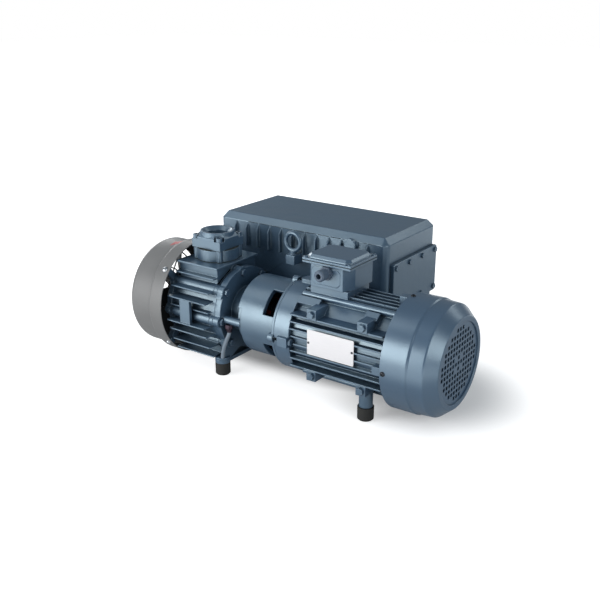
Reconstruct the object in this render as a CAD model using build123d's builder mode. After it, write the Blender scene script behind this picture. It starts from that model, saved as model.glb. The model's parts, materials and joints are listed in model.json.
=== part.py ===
from build123d import *
import math
import os

os.makedirs("parts", exist_ok=True)

# Oil-lubricated rotary vane vacuum pump: motor, lantern and vane pump on one shaft line,
# with the oil separator behind them. Millimetres, +X along the shaft towards the motor fan,
# +Y towards the separator, +Z up, origin on the floor under the middle of the machine.

# Lengths along the shaft, from the fan cover's open end to the motor cowl's end
cover_to_plate = 80.0
fan_plate_thickness = 12.0
cylinder_length = 116.0
drive_plate_thickness = 14.0
neck_length = 49.0
lantern_length = 90.0
shield_length = 34.0
frame_length = 197.0
fan_shield_length = 22.0
cowl_overlap = 15.0
cowl_length = 101.0

total_length = (cover_to_plate + fan_plate_thickness + cylinder_length + drive_plate_thickness
                + neck_length + lantern_length + shield_length + frame_length
                + fan_shield_length - cowl_overlap + cowl_length)

x_cover = -total_length / 2
x_fan_plate = x_cover + cover_to_plate
x_cylinder = x_fan_plate + fan_plate_thickness
x_drive_plate = x_cylinder + cylinder_length
x_neck = x_drive_plate + drive_plate_thickness
x_lantern = x_neck + neck_length
x_shield = x_lantern + lantern_length
x_frame = x_shield + shield_length
x_fan_shield = x_frame + frame_length
x_cowl = x_fan_shield + fan_shield_length - cowl_overlap
x_cylinder_middle = x_cylinder + cylinder_length / 2

# Heights: rubber feet, flat rail, then the separator and the pump's foot lug
foot_height = 26.0
rail_thickness = 8.0
rail_to_shaft = 94.5
shaft_z = foot_height + rail_thickness + rail_to_shaft

# Depth: the fan cover's collar is the front, the separator's rear wall is the back
collar_radius = 120.0
separator_front = 105.0
separator_depth = 205.0
separator_back = separator_front + separator_depth
shaft_y = -(separator_back - collar_radius) / 2

# Clearances
running_gap = 0.05
slide_gap = 0.1
seat_gap = 0.02
end_gap = 0.1
thread_gap = 0.1
gasket_thickness = 0.8

# Pump casting
casting_radius = 82.0
bolt_circle = 78.0
bolt_count = 8
bolt_start = 5.0
lobe_radius = 12.0
flange_thickness = 8.0
column_radius = 13.0
fin_thickness = 3.0
front_fins = [(73.0, 75.0), (90.0, 50.0), (101.0, 30.0), (93.0, 10.0),
              (106.0, -20.0), (100.0, -40.0), (92.0, -65.0), (80.0, -88.0)]
rear_fins = [(96.0, -50.0), (92.0, -65.0), (80.0, -88.0)]
deck_height = 97.0
deck_thickness = 4.0
deck_half_width = 66.0
deck_wall_half_width = 60.0
belly_half_width = 56.0
pad_width = 26.0
pad_face = 103.0
pad_top = front_fins[2][1]
pad_bottom = front_fins[4][1]

# Pump bore, rotor and vanes
bore_radius = 62.0
rotor_radius = 54.0
seal_line_gap = 0.1
seal_line_angle = 45.0
vane_count = 3
vane_thickness = 5.0
vane_height = 27.0
pump_shaft_radius = 14.0
bearing_outer_radius = 20.0
bearing_width = 16.0
seal_width = 6.0
eccentricity = bore_radius - rotor_radius - seal_line_gap
bore_y = -eccentricity * math.cos(math.radians(seal_line_angle))
bore_z = -eccentricity * math.sin(math.radians(seal_line_angle))

# Screws: across flats, head height, shank radius
m8 = (13.0, 5.3, 4.0)
m8_reach = 14.0

# Inlet
inlet_x = x_cover + 152.0
port_radius = 25.0
inlet_screw_offset = 30.5
valve_housing_height = 23.2
barrel_radius = 43.5
valve_bore_radius = 25.5
valve_plate_radius = 23.5
valve_plate_thickness = 3.0
valve_stem_radius = 3.0
valve_stem_length = 14.0
seat_radius = 20.0
inlet_thread_radius = 22.4
inlet_mouth_radius = 29.5
inlet_ring_radius = 36.2
inlet_ring_taper = 4.5
inlet_ring_height = 4.6
inlet_flange_half = 37.2
inlet_flange_height = 28.7
inlet_bevel = 6.2
inlet_edge_rounding = 1.5
screw_pocket_radius = 10.5
screw_pocket_depth = 10.5
socket_head_radius = 6.5
socket_head_height = 8.0

# Outlet between cylinder and separator
outlet_z = 5.0
outlet_flange_width = 94.0
outlet_flange_height = 84.0
outlet_flange_thickness = 12.0
outlet_duct_width = 84.0
outlet_duct_height = 42.0
outlet_slot_width = 20.0
outlet_slot_height = 10.0
outlet_slot_pitch = 26.0
outlet_window_width = 78.0
outlet_window_height = 44.0
outlet_face = separator_front - gasket_thickness
outlet_screw_inset = 7.0
valve_screw_radius = 2.5
valve_screw_rise = 13.0

# Foot rail and feet
rail_width = 22.0
rail_x = x_cover + 207.0
foot_front = -60.0
foot_radius = 15.5
foot_rear = 265.0
rail_front_end = foot_front - rail_width / 2
rail_back_end = foot_rear + rail_width / 2


# Planes: across the shaft facing the motor or the fan cover, level, and upright facing the front
def facing_motor(x):
    return Plane(origin=(x, shaft_y, shaft_z), x_dir=(0, 1, 0), z_dir=(1, 0, 0))


def facing_fan(x):
    return Plane(origin=(x, shaft_y, shaft_z), x_dir=(0, -1, 0), z_dir=(-1, 0, 0))


def level(z):
    return Plane(origin=(0, shaft_y, shaft_z + z), x_dir=(1, 0, 0), z_dir=(0, 0, 1))


def upright(y):
    return Plane(origin=(0, shaft_y + y, shaft_z), x_dir=(1, 0, 0), z_dir=(0, -1, 0))


# A plane whose normal points away from the shaft; the angle counts up from the front side
def radial(x, angle, distance=0.0):
    outward = (0, -math.cos(math.radians(angle)), math.sin(math.radians(angle)))
    origin = (x, shaft_y + outward[1] * distance, shaft_z + outward[2] * distance)
    return Plane(origin=origin, x_dir=(1, 0, 0), z_dir=outward)


shaft_axis = Axis((0, shaft_y, shaft_z), (1, 0, 0))


# Ring sketch about the shaft, used inside a sketch block
def ring(outer, inner):
    Circle(outer)
    Circle(inner, mode=Mode.SUBTRACT)


def lobed_outline():
    Circle(casting_radius)
    with PolarLocations(bolt_circle, bolt_count, start_angle=bolt_start):
        Circle(lobe_radius)


def bolt_holes(radius):
    with PolarLocations(bolt_circle, bolt_count, start_angle=bolt_start):
        Circle(radius)


def outlet_screws(radius, mode=Mode.ADD):
    with Locations((x_cylinder_middle, outlet_z)):
        with GridLocations(outlet_flange_width - 2 * outlet_screw_inset,
                           outlet_flange_height - 2 * outlet_screw_inset, 2, 2):
            Circle(radius, mode=mode)


def outlet_valve_screws(radius, mode=Mode.ADD):
    with Locations((x_cylinder_middle, outlet_z + valve_screw_rise)):
        with GridLocations(2 * outlet_slot_pitch, 0, 2, 1):
            Circle(radius, mode=mode)


# Hexagon screw with its head upwards and the underside of the head at the origin
def hex_screw(size, length):
    across_flats, head_height, shank_radius = size
    with BuildPart() as screw:
        with BuildSketch():
            RegularPolygon(across_flats / math.sqrt(3), 6)
        extrude(amount=head_height)
        with BuildSketch():
            Circle(shank_radius)
        extrude(amount=-length)
    return screw.part


# Round-headed screw with a domed or flat head
def round_screw(head_radius, head_height, shank_radius, length, edge):
    with BuildPart() as screw:
        with BuildSketch():
            Circle(head_radius)
        extrude(amount=head_height)
        chamfer(screw.faces().sort_by(Axis.Z)[-1].edges(), edge)
        with BuildSketch():
            Circle(shank_radius)
        extrude(amount=-length)
    return screw.part


# Pump cylinder: finned casting with an eccentric bore, a level inlet deck and a rear outlet flange
with BuildPart() as pump_cylinder:
    for station in (x_cylinder, x_drive_plate - flange_thickness):
        with BuildSketch(facing_motor(station)) as flange_outline:
            lobed_outline()
            fillet(flange_outline.vertices(), lobe_radius / 3)
        extrude(amount=flange_thickness)
    body_length = cylinder_length - 2 * flange_thickness
    with BuildSketch(facing_motor(x_cylinder + flange_thickness)):
        Circle(casting_radius)
        with PolarLocations(bolt_circle, bolt_count, start_angle=bolt_start):
            Circle(column_radius)
        with Locations((0, deck_height / 2)):
            Rectangle(2 * deck_wall_half_width, deck_height)
        with Locations((0, front_fins[-1][1] / 2)):
            Rectangle(2 * belly_half_width, -front_fins[-1][1])
        for reach, height in front_fins:
            with Locations((-reach / 2, height)):
                Rectangle(reach, fin_thickness)
        for reach, height in rear_fins:
            with Locations((reach / 2, height)):
                Rectangle(reach, fin_thickness)
    extrude(amount=body_length)
    with BuildSketch(level(deck_height)):
        with Locations((x_cylinder_middle, 0)):
            Rectangle(cylinder_length - flange_thickness, 2 * deck_half_width)
    extrude(amount=-deck_thickness)
    with BuildSketch(upright(-pad_face + flange_thickness)):
        with Locations((x_cylinder_middle - fin_thickness, (pad_top + pad_bottom) / 2)):
            Rectangle(pad_width, pad_top - pad_bottom)
    extrude(amount=flange_thickness)
    with BuildSketch(upright(outlet_face)):
        with Locations((x_cylinder_middle, outlet_z)):
            Rectangle(outlet_flange_width, outlet_flange_height)
    extrude(amount=outlet_flange_thickness)
    with BuildSketch(upright(outlet_face - outlet_flange_thickness)):
        with Locations((x_cylinder_middle, outlet_z)):
            Rectangle(outlet_duct_width, outlet_duct_height)
    extrude(amount=bore_radius / 2)
    with BuildSketch(facing_motor(x_cylinder)):
        with Locations((bore_y, bore_z)):
            Circle(bore_radius)
    extrude(amount=cylinder_length, mode=Mode.SUBTRACT)
    with BuildSketch(level(deck_height)):
        with Locations((inlet_x, 0)):
            Circle(port_radius)
    extrude(amount=-(deck_height - bore_radius / 2), mode=Mode.SUBTRACT)
    with BuildSketch(level(deck_height)):
        with Locations((inlet_x, 0)):
            with GridLocations(2 * inlet_screw_offset, 2 * inlet_screw_offset, 2, 2):
                Circle(m8[2] + thread_gap)
    extrude(amount=-m8_reach, mode=Mode.SUBTRACT)
    with BuildSketch(upright(outlet_face)):
        with Locations((x_cylinder_middle, outlet_z)):
            with GridLocations(outlet_slot_pitch, 0, 3, 1):
                Rectangle(outlet_slot_width, outlet_slot_height)
    extrude(amount=outlet_face - bore_radius * 0.7, mode=Mode.SUBTRACT)
    with BuildSketch(upright(outlet_face)):
        outlet_screws(m8[2] + thread_gap)
        outlet_valve_screws(valve_screw_radius + thread_gap)
    extrude(amount=outlet_flange_thickness, mode=Mode.SUBTRACT)
    with BuildSketch(facing_motor(x_cylinder)):
        bolt_holes(m8[2] + thread_gap)
    extrude(amount=m8_reach + flange_thickness, mode=Mode.SUBTRACT)
    with BuildSketch(facing_motor(x_drive_plate)):
        bolt_holes(m8[2] + thread_gap)
    extrude(amount=-m8_reach - flange_thickness, mode=Mode.SUBTRACT)
pump_cylinder.part.label = "pump_cylinder"
export_step(pump_cylinder.part, "parts/pump_cylinder.step")

# Pump rotor with its shaft and three radial slots
x_pump_shaft = x_cover + 22.0
pump_hub_face = x_lantern + 27.0
rotor_length = cylinder_length - 2 * end_gap
with BuildPart() as pump_rotor:
    with BuildSketch(facing_motor(x_cylinder + end_gap)):
        Circle(rotor_radius)
        with PolarLocations(rotor_radius - vane_height / 2, vane_count, start_angle=90):
            Rectangle(vane_height + 2 * slide_gap, vane_thickness + 2 * slide_gap, mode=Mode.SUBTRACT)
    extrude(amount=rotor_length)
    with BuildSketch(facing_motor(x_pump_shaft)):
        Circle(pump_shaft_radius)
    extrude(amount=pump_hub_face - x_pump_shaft)
pump_rotor.part.label = "pump_rotor"
export_step(pump_rotor.part, "parts/pump_rotor.step")

# Sliding vanes, flush in their slots
with BuildPart() as rotor_vanes:
    with BuildSketch(facing_motor(x_cylinder + 2 * end_gap)):
        with PolarLocations(rotor_radius - vane_height / 2 - slide_gap / 2, vane_count, start_angle=90):
            Rectangle(vane_height - slide_gap, vane_thickness)
    extrude(amount=rotor_length - 2 * end_gap)
rotor_vanes.part.label = "rotor_vanes"
export_step(rotor_vanes.part, "parts/rotor_vanes.step")

# Cover arms, shared by the fan-side plate and the fan cover's screws
cover_wall = 1.6
cover_radius = 113.0
cover_length = 98.0
cover_inlet_radius = 98.0
cover_corner = 13.0
joggle_start = 62.0
joggle_end = 68.0
cover_arm_angles = [42.0, -41.0, 138.0, 221.0]
cover_arm_width = 14.0
cover_lug_length = 15.0
x_cover_screw = x_cover + 86.5
lug_top = math.sqrt((collar_radius - cover_wall - slide_gap) ** 2 - (cover_arm_width / 2) ** 2)
lug_height = 9.0
hub_length = 14.0
hub_radius = 30.0

# Fan-side end plate: scalloped disc, bearing hub and four arms that carry the fan cover
with BuildPart() as end_plate_fan_side:
    with BuildSketch(facing_motor(x_fan_plate)) as fan_plate_outline:
        lobed_outline()
        fillet(fan_plate_outline.vertices(), lobe_radius / 3)
    extrude(amount=fan_plate_thickness)
    with BuildSketch(facing_fan(x_fan_plate)):
        Circle(hub_radius)
    extrude(amount=hub_length, taper=4)
    for angle in cover_arm_angles:
        with BuildSketch(radial(x_fan_plate + fan_plate_thickness / 2, angle, casting_radius - lobe_radius)):
            Rectangle(fan_plate_thickness, cover_arm_width)
        extrude(amount=lug_top - casting_radius + lobe_radius - lug_height / 2)
        with BuildSketch(radial(x_cover_screw, angle, lug_top - lug_height)):
            Rectangle(cover_lug_length, cover_arm_width)
        extrude(amount=lug_height)
        with BuildSketch(radial(x_cover_screw, angle, lug_top)):
            Circle(3.0 + thread_gap)
        extrude(amount=-lug_height, mode=Mode.SUBTRACT)
    with BuildSketch(facing_fan(x_cylinder)):
        Circle(pump_shaft_radius + 1)
    extrude(amount=fan_plate_thickness + hub_length, mode=Mode.SUBTRACT)
    with BuildSketch(facing_motor(x_fan_plate - hub_length)):
        Circle(bearing_outer_radius + seat_gap)
    extrude(amount=bearing_width + seal_width, mode=Mode.SUBTRACT)
    with BuildSketch(facing_fan(x_cylinder)):
        with PolarLocations(bolt_circle, bolt_count, start_angle=-bolt_start):
            Circle(m8[2] + thread_gap)
    extrude(amount=fan_plate_thickness, mode=Mode.SUBTRACT)
end_plate_fan_side.part.label = "end_plate_fan_side"
export_step(end_plate_fan_side.part, "parts/end_plate_fan_side.step")

# Drive-side end plate: scalloped disc, round neck to the lantern, oil gallery boss and foot lug
neck_radius = 47.0
neck_flange_radius = 66.0
neck_flange_thickness = 16.0
neck_bore = 41.0
plate_crown_radius = 87.0
plate_crown_bottom = 40.0
hub_depth = 14.0
lantern_screw_circle = 59.0
lantern_web = 10.0
gallery_y = -69.0
gallery_z = -3.0
gallery_radius = 8.0
gallery_length = 46.0
fitting_top = gallery_z - gallery_radius + 1.0
pipe_x = x_cover + 238.0
pipe_y = -73.0
web_front = -64.0
foot_web = rail_to_shaft + front_fins[-1][1] - fin_thickness / 2 - 2 * slide_gap
foot_bolt_radius = 4.0
with BuildPart() as end_plate_drive_side:
    with BuildSketch(facing_motor(x_drive_plate)) as drive_plate_outline:
        lobed_outline()
        fillet(drive_plate_outline.vertices(), lobe_radius / 3)
    extrude(amount=drive_plate_thickness)
    with BuildSketch(facing_motor(x_drive_plate)):
        Circle(plate_crown_radius)
        with Locations((0, plate_crown_bottom + plate_crown_radius)):
            Rectangle(2 * plate_crown_radius, 2 * plate_crown_radius, mode=Mode.INTERSECT)
    extrude(amount=drive_plate_thickness)
    with BuildSketch(facing_motor(x_drive_plate)):
        with BuildLine():
            Polyline((-casting_radius * 0.8, -casting_radius * 0.4), (web_front, -rail_to_shaft + foot_web),
                     (web_front, -rail_to_shaft), (foot_front + foot_radius, -rail_to_shaft),
                     (0, -casting_radius * 0.9), (-casting_radius * 0.8, -casting_radius * 0.4))
        make_face()
    extrude(amount=drive_plate_thickness * 0.7)
    with BuildSketch(level(-rail_to_shaft)):
        with Locations((rail_x, foot_front)):
            Circle(foot_radius)
    extrude(amount=foot_web)
    with BuildSketch(facing_motor(x_neck)):
        Circle(neck_radius)
    extrude(amount=neck_length)
    with BuildSketch(facing_fan(x_lantern)):
        Circle(neck_flange_radius)
    extrude(amount=neck_flange_thickness)
    with BuildSketch(facing_motor(x_neck)):
        with Locations((gallery_y, gallery_z)):
            Circle(gallery_radius)
    extrude(amount=gallery_length)
    with BuildSketch(level(fitting_top)):
        with Locations((pipe_x, pipe_y)):
            Rectangle(2 * gallery_radius, 2 * gallery_radius)
    extrude(amount=-gallery_radius, mode=Mode.SUBTRACT)
    with BuildSketch(facing_motor(x_neck)):
        bolt_holes(m8[0] / math.sqrt(3) + 2 * slide_gap)
    extrude(amount=m8[1] + 2 * slide_gap, mode=Mode.SUBTRACT)
    with BuildSketch(facing_motor(x_neck + hub_depth)):
        Circle(neck_bore)
    extrude(amount=neck_length - hub_depth, mode=Mode.SUBTRACT)
    with BuildSketch(facing_motor(x_drive_plate)):
        Circle(pump_shaft_radius + 1)
    extrude(amount=drive_plate_thickness + hub_depth, mode=Mode.SUBTRACT)
    with BuildSketch(facing_fan(x_neck + hub_depth)):
        Circle(bearing_outer_radius + seat_gap)
    extrude(amount=bearing_width + seal_width, mode=Mode.SUBTRACT)
    with BuildSketch(facing_motor(x_drive_plate)):
        bolt_holes(m8[2] + thread_gap)
    extrude(amount=drive_plate_thickness, mode=Mode.SUBTRACT)
    with BuildSketch(facing_fan(x_lantern)):
        with PolarLocations(lantern_screw_circle, 4, start_angle=45):
            Circle(m8[2] + thread_gap)
    extrude(amount=m8_reach, mode=Mode.SUBTRACT)
    with BuildSketch(level(-rail_to_shaft)):
        with Locations((rail_x, foot_front)):
            Circle(foot_bolt_radius + thread_gap)
    extrude(amount=foot_web, mode=Mode.SUBTRACT)
end_plate_drive_side.part.label = "end_plate_drive_side"
export_step(end_plate_drive_side.part, "parts/end_plate_drive_side.step")

# Lantern: open tube between pump and motor, with four windows, a hood over the neck and studded flange
lantern_radius = 79.0
lantern_wall = 10.0
hood_length = 9.0
hood_wall = 7.0
hood_bottom = 30.8
window_length = 26.3
window_half_angle = 20.0
window_angles = [42.5, -42.5, 137.5, 222.5]
motor_flange_radius = 90.0
motor_flange_thickness = 12.0
motor_disc_thickness = 6.0
flange_lug_start = 183.0
flange_lug_circle = 87.0
flange_lug_radius = 9.0
x_flange = x_shield - motor_flange_thickness
window_width = 2 * lantern_radius * math.sin(math.radians(window_half_angle))
with BuildPart() as lantern:
    with BuildSketch(facing_motor(x_lantern)):
        ring(lantern_radius, neck_bore)
    extrude(amount=lantern_web)
    with BuildSketch(facing_motor(x_lantern)):
        ring(lantern_radius, lantern_radius - lantern_wall)
    extrude(amount=lantern_length)
    with BuildSketch(facing_motor(x_flange)):
        with PolarLocations(flange_lug_circle, 4, start_angle=flange_lug_start):
            Circle(flange_lug_radius)
        Circle(lantern_radius - lantern_wall, mode=Mode.SUBTRACT)
    extrude(amount=motor_flange_thickness)
    with BuildSketch(facing_fan(x_shield)):
        ring(motor_flange_radius, lantern_radius - lantern_wall)
    extrude(amount=motor_disc_thickness)
    with BuildSketch(facing_fan(x_lantern)):
        ring(lantern_radius, lantern_radius - hood_wall)
        with Locations((0, hood_bottom - lantern_radius)):
            Rectangle(2 * lantern_radius, 2 * lantern_radius, mode=Mode.SUBTRACT)
    extrude(amount=hood_length)
    for angle in window_angles:
        with BuildSketch(radial(x_flange - window_length / 2, angle)):
            Rectangle(window_length, window_width)
        extrude(amount=lantern_radius * 1.2, mode=Mode.SUBTRACT)
    with BuildSketch(facing_motor(x_flange)):
        with PolarLocations(flange_lug_circle, 4, start_angle=flange_lug_start):
            Circle(m8[2] + thread_gap)
    extrude(amount=motor_flange_thickness, mode=Mode.SUBTRACT)
    with BuildSketch(facing_fan(x_lantern + lantern_web)):
        with PolarLocations(lantern_screw_circle, 4, start_angle=45):
            Circle(m8[2] + thread_gap)
    extrude(amount=lantern_web, mode=Mode.SUBTRACT)
lantern.part.label = "lantern"
export_step(lantern.part, "parts/lantern.step")

# Fan cover: spun sheet drum with a rolled inlet edge and a stepped collar
with BuildPart() as pump_fan_cover:
    with BuildSketch(upright(0)):
        with BuildLine():
            inlet_lip = Line((x_cover, cover_inlet_radius), (x_cover, cover_radius - cover_corner))
            corner = RadiusArc(inlet_lip @ 1, (x_cover + cover_corner, cover_radius), cover_corner)
            drum = Polyline(corner @ 1, (x_cover + joggle_start, cover_radius),
                            (x_cover + joggle_end, collar_radius), (x_cover + cover_length, collar_radius),
                            (x_cover + cover_length, collar_radius - cover_wall),
                            (x_cover + joggle_end, collar_radius - cover_wall),
                            (x_cover + joggle_start, cover_radius - cover_wall),
                            (x_cover + cover_corner, cover_radius - cover_wall))
            inner = RadiusArc(drum @ 1, (x_cover + cover_wall, cover_radius - cover_corner),
                              -(cover_corner - cover_wall))
            Polyline(inner @ 1, (x_cover + cover_wall, cover_inlet_radius), inlet_lip @ 0)
        make_face()
    revolve(axis=shaft_axis)
    for angle in cover_arm_angles:
        with BuildSketch(radial(x_cover_screw, angle, collar_radius + cover_wall)):
            Circle(3.0 + thread_gap)
        extrude(amount=-3 * cover_wall, mode=Mode.SUBTRACT)
pump_fan_cover.part.label = "pump_fan_cover"
export_step(pump_fan_cover.part, "parts/pump_fan_cover.step")

# Guard rings and spokes behind the cover's inlet edge
guard_thickness = 2.4
guard_bar = 2.6
guard_rings = [24.0, 44.0, 64.0, 84.0]
guard_spokes = 12
guard_radius = cover_radius - cover_corner - slide_gap
with BuildPart() as pump_fan_guard:
    with BuildSketch(facing_motor(x_cover + cover_wall)):
        ring(guard_radius, cover_inlet_radius - guard_bar)
        for radius in guard_rings:
            with BuildSketch(mode=Mode.PRIVATE) as guard_ring:
                ring(radius + guard_bar / 2, radius - guard_bar / 2)
            add(guard_ring.sketch)
        with PolarLocations((guard_rings[0] + cover_inlet_radius) / 2, guard_spokes):
            Rectangle(cover_inlet_radius - guard_rings[0], guard_bar)
    extrude(amount=guard_thickness)
pump_fan_guard.part.label = "pump_fan_guard"
export_step(pump_fan_guard.part, "parts/pump_fan_guard.step")

# Domed screws that hold the fan cover to the arms
cover_screw = round_screw(6.2, 4.6, 3.0, lug_height - 1, 2.2)
with BuildPart() as fan_cover_screws:
    for angle in cover_arm_angles:
        with Locations(radial(x_cover_screw, angle, collar_radius)):
            add(cover_screw)
fan_cover_screws.part.label = "fan_cover_screws"
export_step(fan_cover_screws.part, "parts/fan_cover_screws.step")

# Axial cooling fan on the pump shaft
fan_hub_radius = 26.0
fan_hub_length = 32.0
fan_blades = 8
fan_tip_radius = 103.0
fan_chord = 46.0
fan_blade_thickness = 3.0
fan_root_pitch = -52.0
fan_tip_pitch = -28.0
x_fan_hub = x_pump_shaft + 2.0
with BuildPart() as pump_fan:
    with BuildSketch(facing_motor(x_fan_hub)):
        ring(fan_hub_radius, pump_shaft_radius + seat_gap)
    extrude(amount=fan_hub_length)
    for number in range(fan_blades):
        turn = number * 360 / fan_blades
        middle = x_fan_hub + fan_hub_length / 2
        with BuildSketch(radial(middle, turn, fan_hub_radius - 3)):
            Rectangle(fan_chord * 0.75, fan_blade_thickness, rotation=fan_root_pitch)
        with BuildSketch(radial(middle, turn, fan_tip_radius)):
            Rectangle(fan_chord, fan_blade_thickness * 0.8, rotation=fan_tip_pitch)
        loft()
pump_fan.part.label = "pump_fan"
export_step(pump_fan.part, "parts/pump_fan.step")

# Inlet stack on the deck: valve housing, gaskets, threaded flange, screen and non-return valve
z_housing = deck_height + gasket_thickness
z_housing_top = z_housing + valve_housing_height
z_seat = z_housing_top + gasket_thickness
z_block_top = z_seat + inlet_flange_height
z_inlet = z_block_top + inlet_ring_height
post_radius = 5.8
spider_thickness = 3.0
guide_radius = 6.0
guide_length = 10.2
screen_thickness = 1.0
screen_ledge = 5.0
screen_radius = 21.4
z_thread = z_seat + screen_ledge + screen_thickness + slide_gap


def valve_housing_outline():
    with Locations((inlet_x, 0)):
        Circle(barrel_radius)
        with GridLocations(2 * inlet_screw_offset, 2 * inlet_screw_offset, 2, 2):
            Circle(post_radius)


def inlet_screw_holes():
    with Locations((inlet_x, 0)):
        with GridLocations(2 * inlet_screw_offset, 2 * inlet_screw_offset, 2, 2):
            Circle(m8[2] + thread_gap, mode=Mode.SUBTRACT)


with BuildPart() as inlet_valve_housing:
    with BuildSketch(level(z_housing)):
        valve_housing_outline()
        inlet_screw_holes()
        with Locations((inlet_x, 0)):
            Circle(valve_bore_radius, mode=Mode.SUBTRACT)
    extrude(amount=valve_housing_height)
    with BuildSketch(level(z_housing)):
        with Locations((inlet_x, 0)):
            with PolarLocations(valve_bore_radius / 2 + 1, 3):
                Rectangle(valve_bore_radius, guide_radius)
            Circle(guide_radius)
    extrude(amount=spider_thickness)
    with BuildSketch(level(z_housing)):
        with Locations((inlet_x, 0)):
            Circle(guide_radius)
    extrude(amount=guide_length)
    with BuildSketch(level(z_housing)):
        with Locations((inlet_x, 0)):
            Circle(valve_stem_radius + running_gap)
    extrude(amount=guide_length, mode=Mode.SUBTRACT)
inlet_valve_housing.part.label = "inlet_valve_housing"
export_step(inlet_valve_housing.part, "parts/inlet_valve_housing.step")

with BuildPart() as inlet_flange:
    with BuildSketch(level(z_seat)):
        with Locations((inlet_x, 0)):
            Rectangle(2 * inlet_flange_half, 2 * inlet_flange_half)
    extrude(amount=inlet_flange_height)
    chamfer(inlet_flange.faces().sort_by(Axis.Z)[-1].edges(), inlet_bevel)
    fillet(inlet_flange.edges().filter_by(Axis.Z), inlet_edge_rounding)
    with BuildSketch(level(z_block_top - screw_pocket_depth)):
        with Locations((inlet_x, 0)):
            with GridLocations(2 * inlet_screw_offset, 2 * inlet_screw_offset, 2, 2):
                Circle(screw_pocket_radius)
    extrude(amount=screw_pocket_depth + inlet_bevel, mode=Mode.SUBTRACT)
    with BuildSketch(level(z_block_top - screw_pocket_depth)):
        with Locations((inlet_x, 0)):
            Circle(inlet_ring_radius)
    extrude(amount=screw_pocket_depth + inlet_ring_height, taper=inlet_ring_taper)
    with BuildSketch(level(z_seat)):
        with Locations((inlet_x, 0)):
            with GridLocations(2 * inlet_screw_offset, 2 * inlet_screw_offset, 2, 2):
                Circle(m8[2] + thread_gap)
            Circle(seat_radius)
    extrude(amount=inlet_flange_height - screw_pocket_depth + 1, mode=Mode.SUBTRACT)
    with BuildSketch(level(z_inlet)):
        with Locations((inlet_x, 0)):
            Circle(screen_radius + slide_gap)
    extrude(amount=-(z_inlet - z_seat - screen_ledge), mode=Mode.SUBTRACT)
    with BuildSketch(level(z_inlet)):
        with Locations((inlet_x, 0)):
            Circle(inlet_thread_radius)
    extrude(amount=-(z_inlet - z_thread), mode=Mode.SUBTRACT)
    with BuildSketch(level(z_inlet)):
        with Locations((inlet_x, 0)):
            Circle(inlet_mouth_radius)
    extrude(amount=-(inlet_mouth_radius - inlet_thread_radius), taper=45, mode=Mode.SUBTRACT)
inlet_flange.part.label = "inlet_flange"
export_step(inlet_flange.part, "parts/inlet_flange.step")

# Four sunk socket screws through flange and housing into the deck
inlet_screw = round_screw(socket_head_radius, socket_head_height, m8[2],
                          z_block_top - screw_pocket_depth - deck_height + m8_reach - 1, 0.6)
with BuildPart() as inlet_screws:
    with Locations(level(z_block_top - screw_pocket_depth)):
        with Locations((inlet_x, 0)):
            with GridLocations(2 * inlet_screw_offset, 2 * inlet_screw_offset, 2, 2):
                add(inlet_screw)
    with BuildSketch(level(z_block_top - screw_pocket_depth + socket_head_height)):
        with Locations((inlet_x, 0)):
            with GridLocations(2 * inlet_screw_offset, 2 * inlet_screw_offset, 2, 2):
                RegularPolygon(3.4, 6)
    extrude(amount=-socket_head_height / 2, mode=Mode.SUBTRACT)
inlet_screws.part.label = "inlet_screws"
export_step(inlet_screws.part, "parts/inlet_screws.step")

# Perforated screen on the ledge under the thread
screen_pitch = 6.0
screen_rows = 5
screen_hole = 4.0
with BuildPart() as inlet_screen:
    with BuildSketch(level(z_seat + screen_ledge)):
        with Locations((inlet_x, 0)):
            Circle(screen_radius)
            with GridLocations(screen_pitch, screen_pitch, screen_rows, screen_rows):
                Rectangle(screen_hole, screen_hole, mode=Mode.SUBTRACT)
    extrude(amount=screen_thickness)
inlet_screen.part.label = "inlet_screen"
export_step(inlet_screen.part, "parts/inlet_screen.step")

# Non-return valve plate with its guide stem, closed against the seat
z_valve = z_seat - slide_gap - valve_plate_thickness
with BuildPart() as inlet_valve_plate:
    with BuildSketch(level(z_valve)):
        with Locations((inlet_x, 0)):
            Circle(valve_plate_radius)
    extrude(amount=valve_plate_thickness)
    with BuildSketch(level(z_valve)):
        with Locations((inlet_x, 0)):
            Circle(valve_stem_radius)
    extrude(amount=-valve_stem_length)
inlet_valve_plate.part.label = "inlet_valve_plate"
export_step(inlet_valve_plate.part, "parts/inlet_valve_plate.step")

# Light coil spring between the housing's spider and the valve plate
spring_wire = 0.7
spring_radius = 9.0
spring_turns = 4
z_spring = z_housing + spider_thickness + spring_wire + running_gap
spring_height = z_valve - z_spring - spring_wire - running_gap
with BuildPart() as inlet_valve_spring:
    with BuildLine(level(z_spring)) as spring_path:
        with Locations((inlet_x, 0)):
            Helix(pitch=spring_height / spring_turns, height=spring_height, radius=spring_radius,
                  center=(inlet_x, 0, 0))
    with BuildSketch(Plane(origin=spring_path.line @ 0, z_dir=spring_path.line % 0)):
        RegularPolygon(spring_wire, 6)
    sweep(is_frenet=True)
inlet_valve_spring.part.label = "inlet_valve_spring"
export_step(inlet_valve_spring.part, "parts/inlet_valve_spring.step")

# Jaw coupling inside the lantern: two hubs with three jaws each and an elastic star between them
coupling_radius = 38.0
coupling_core = 16.0
coupling_body = 25.0
coupling_gap = 14.0
jaw_length = 12.5
jaw_half_angle = 23.0
leg_half_angle = 6.0
coupling_clearance = 0.3
motor_hub_face = pump_hub_face + coupling_gap


def wedges(half_angle, count, start):
    for number in range(count):
        middle = math.radians(start + number * 360 / count)
        half = math.radians(half_angle)
        tip = 2 * coupling_radius
        Polygon((0, 0), (tip * math.cos(middle - half), tip * math.sin(middle - half)),
                (tip * math.cos(middle + half), tip * math.sin(middle + half)), align=None)


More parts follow.
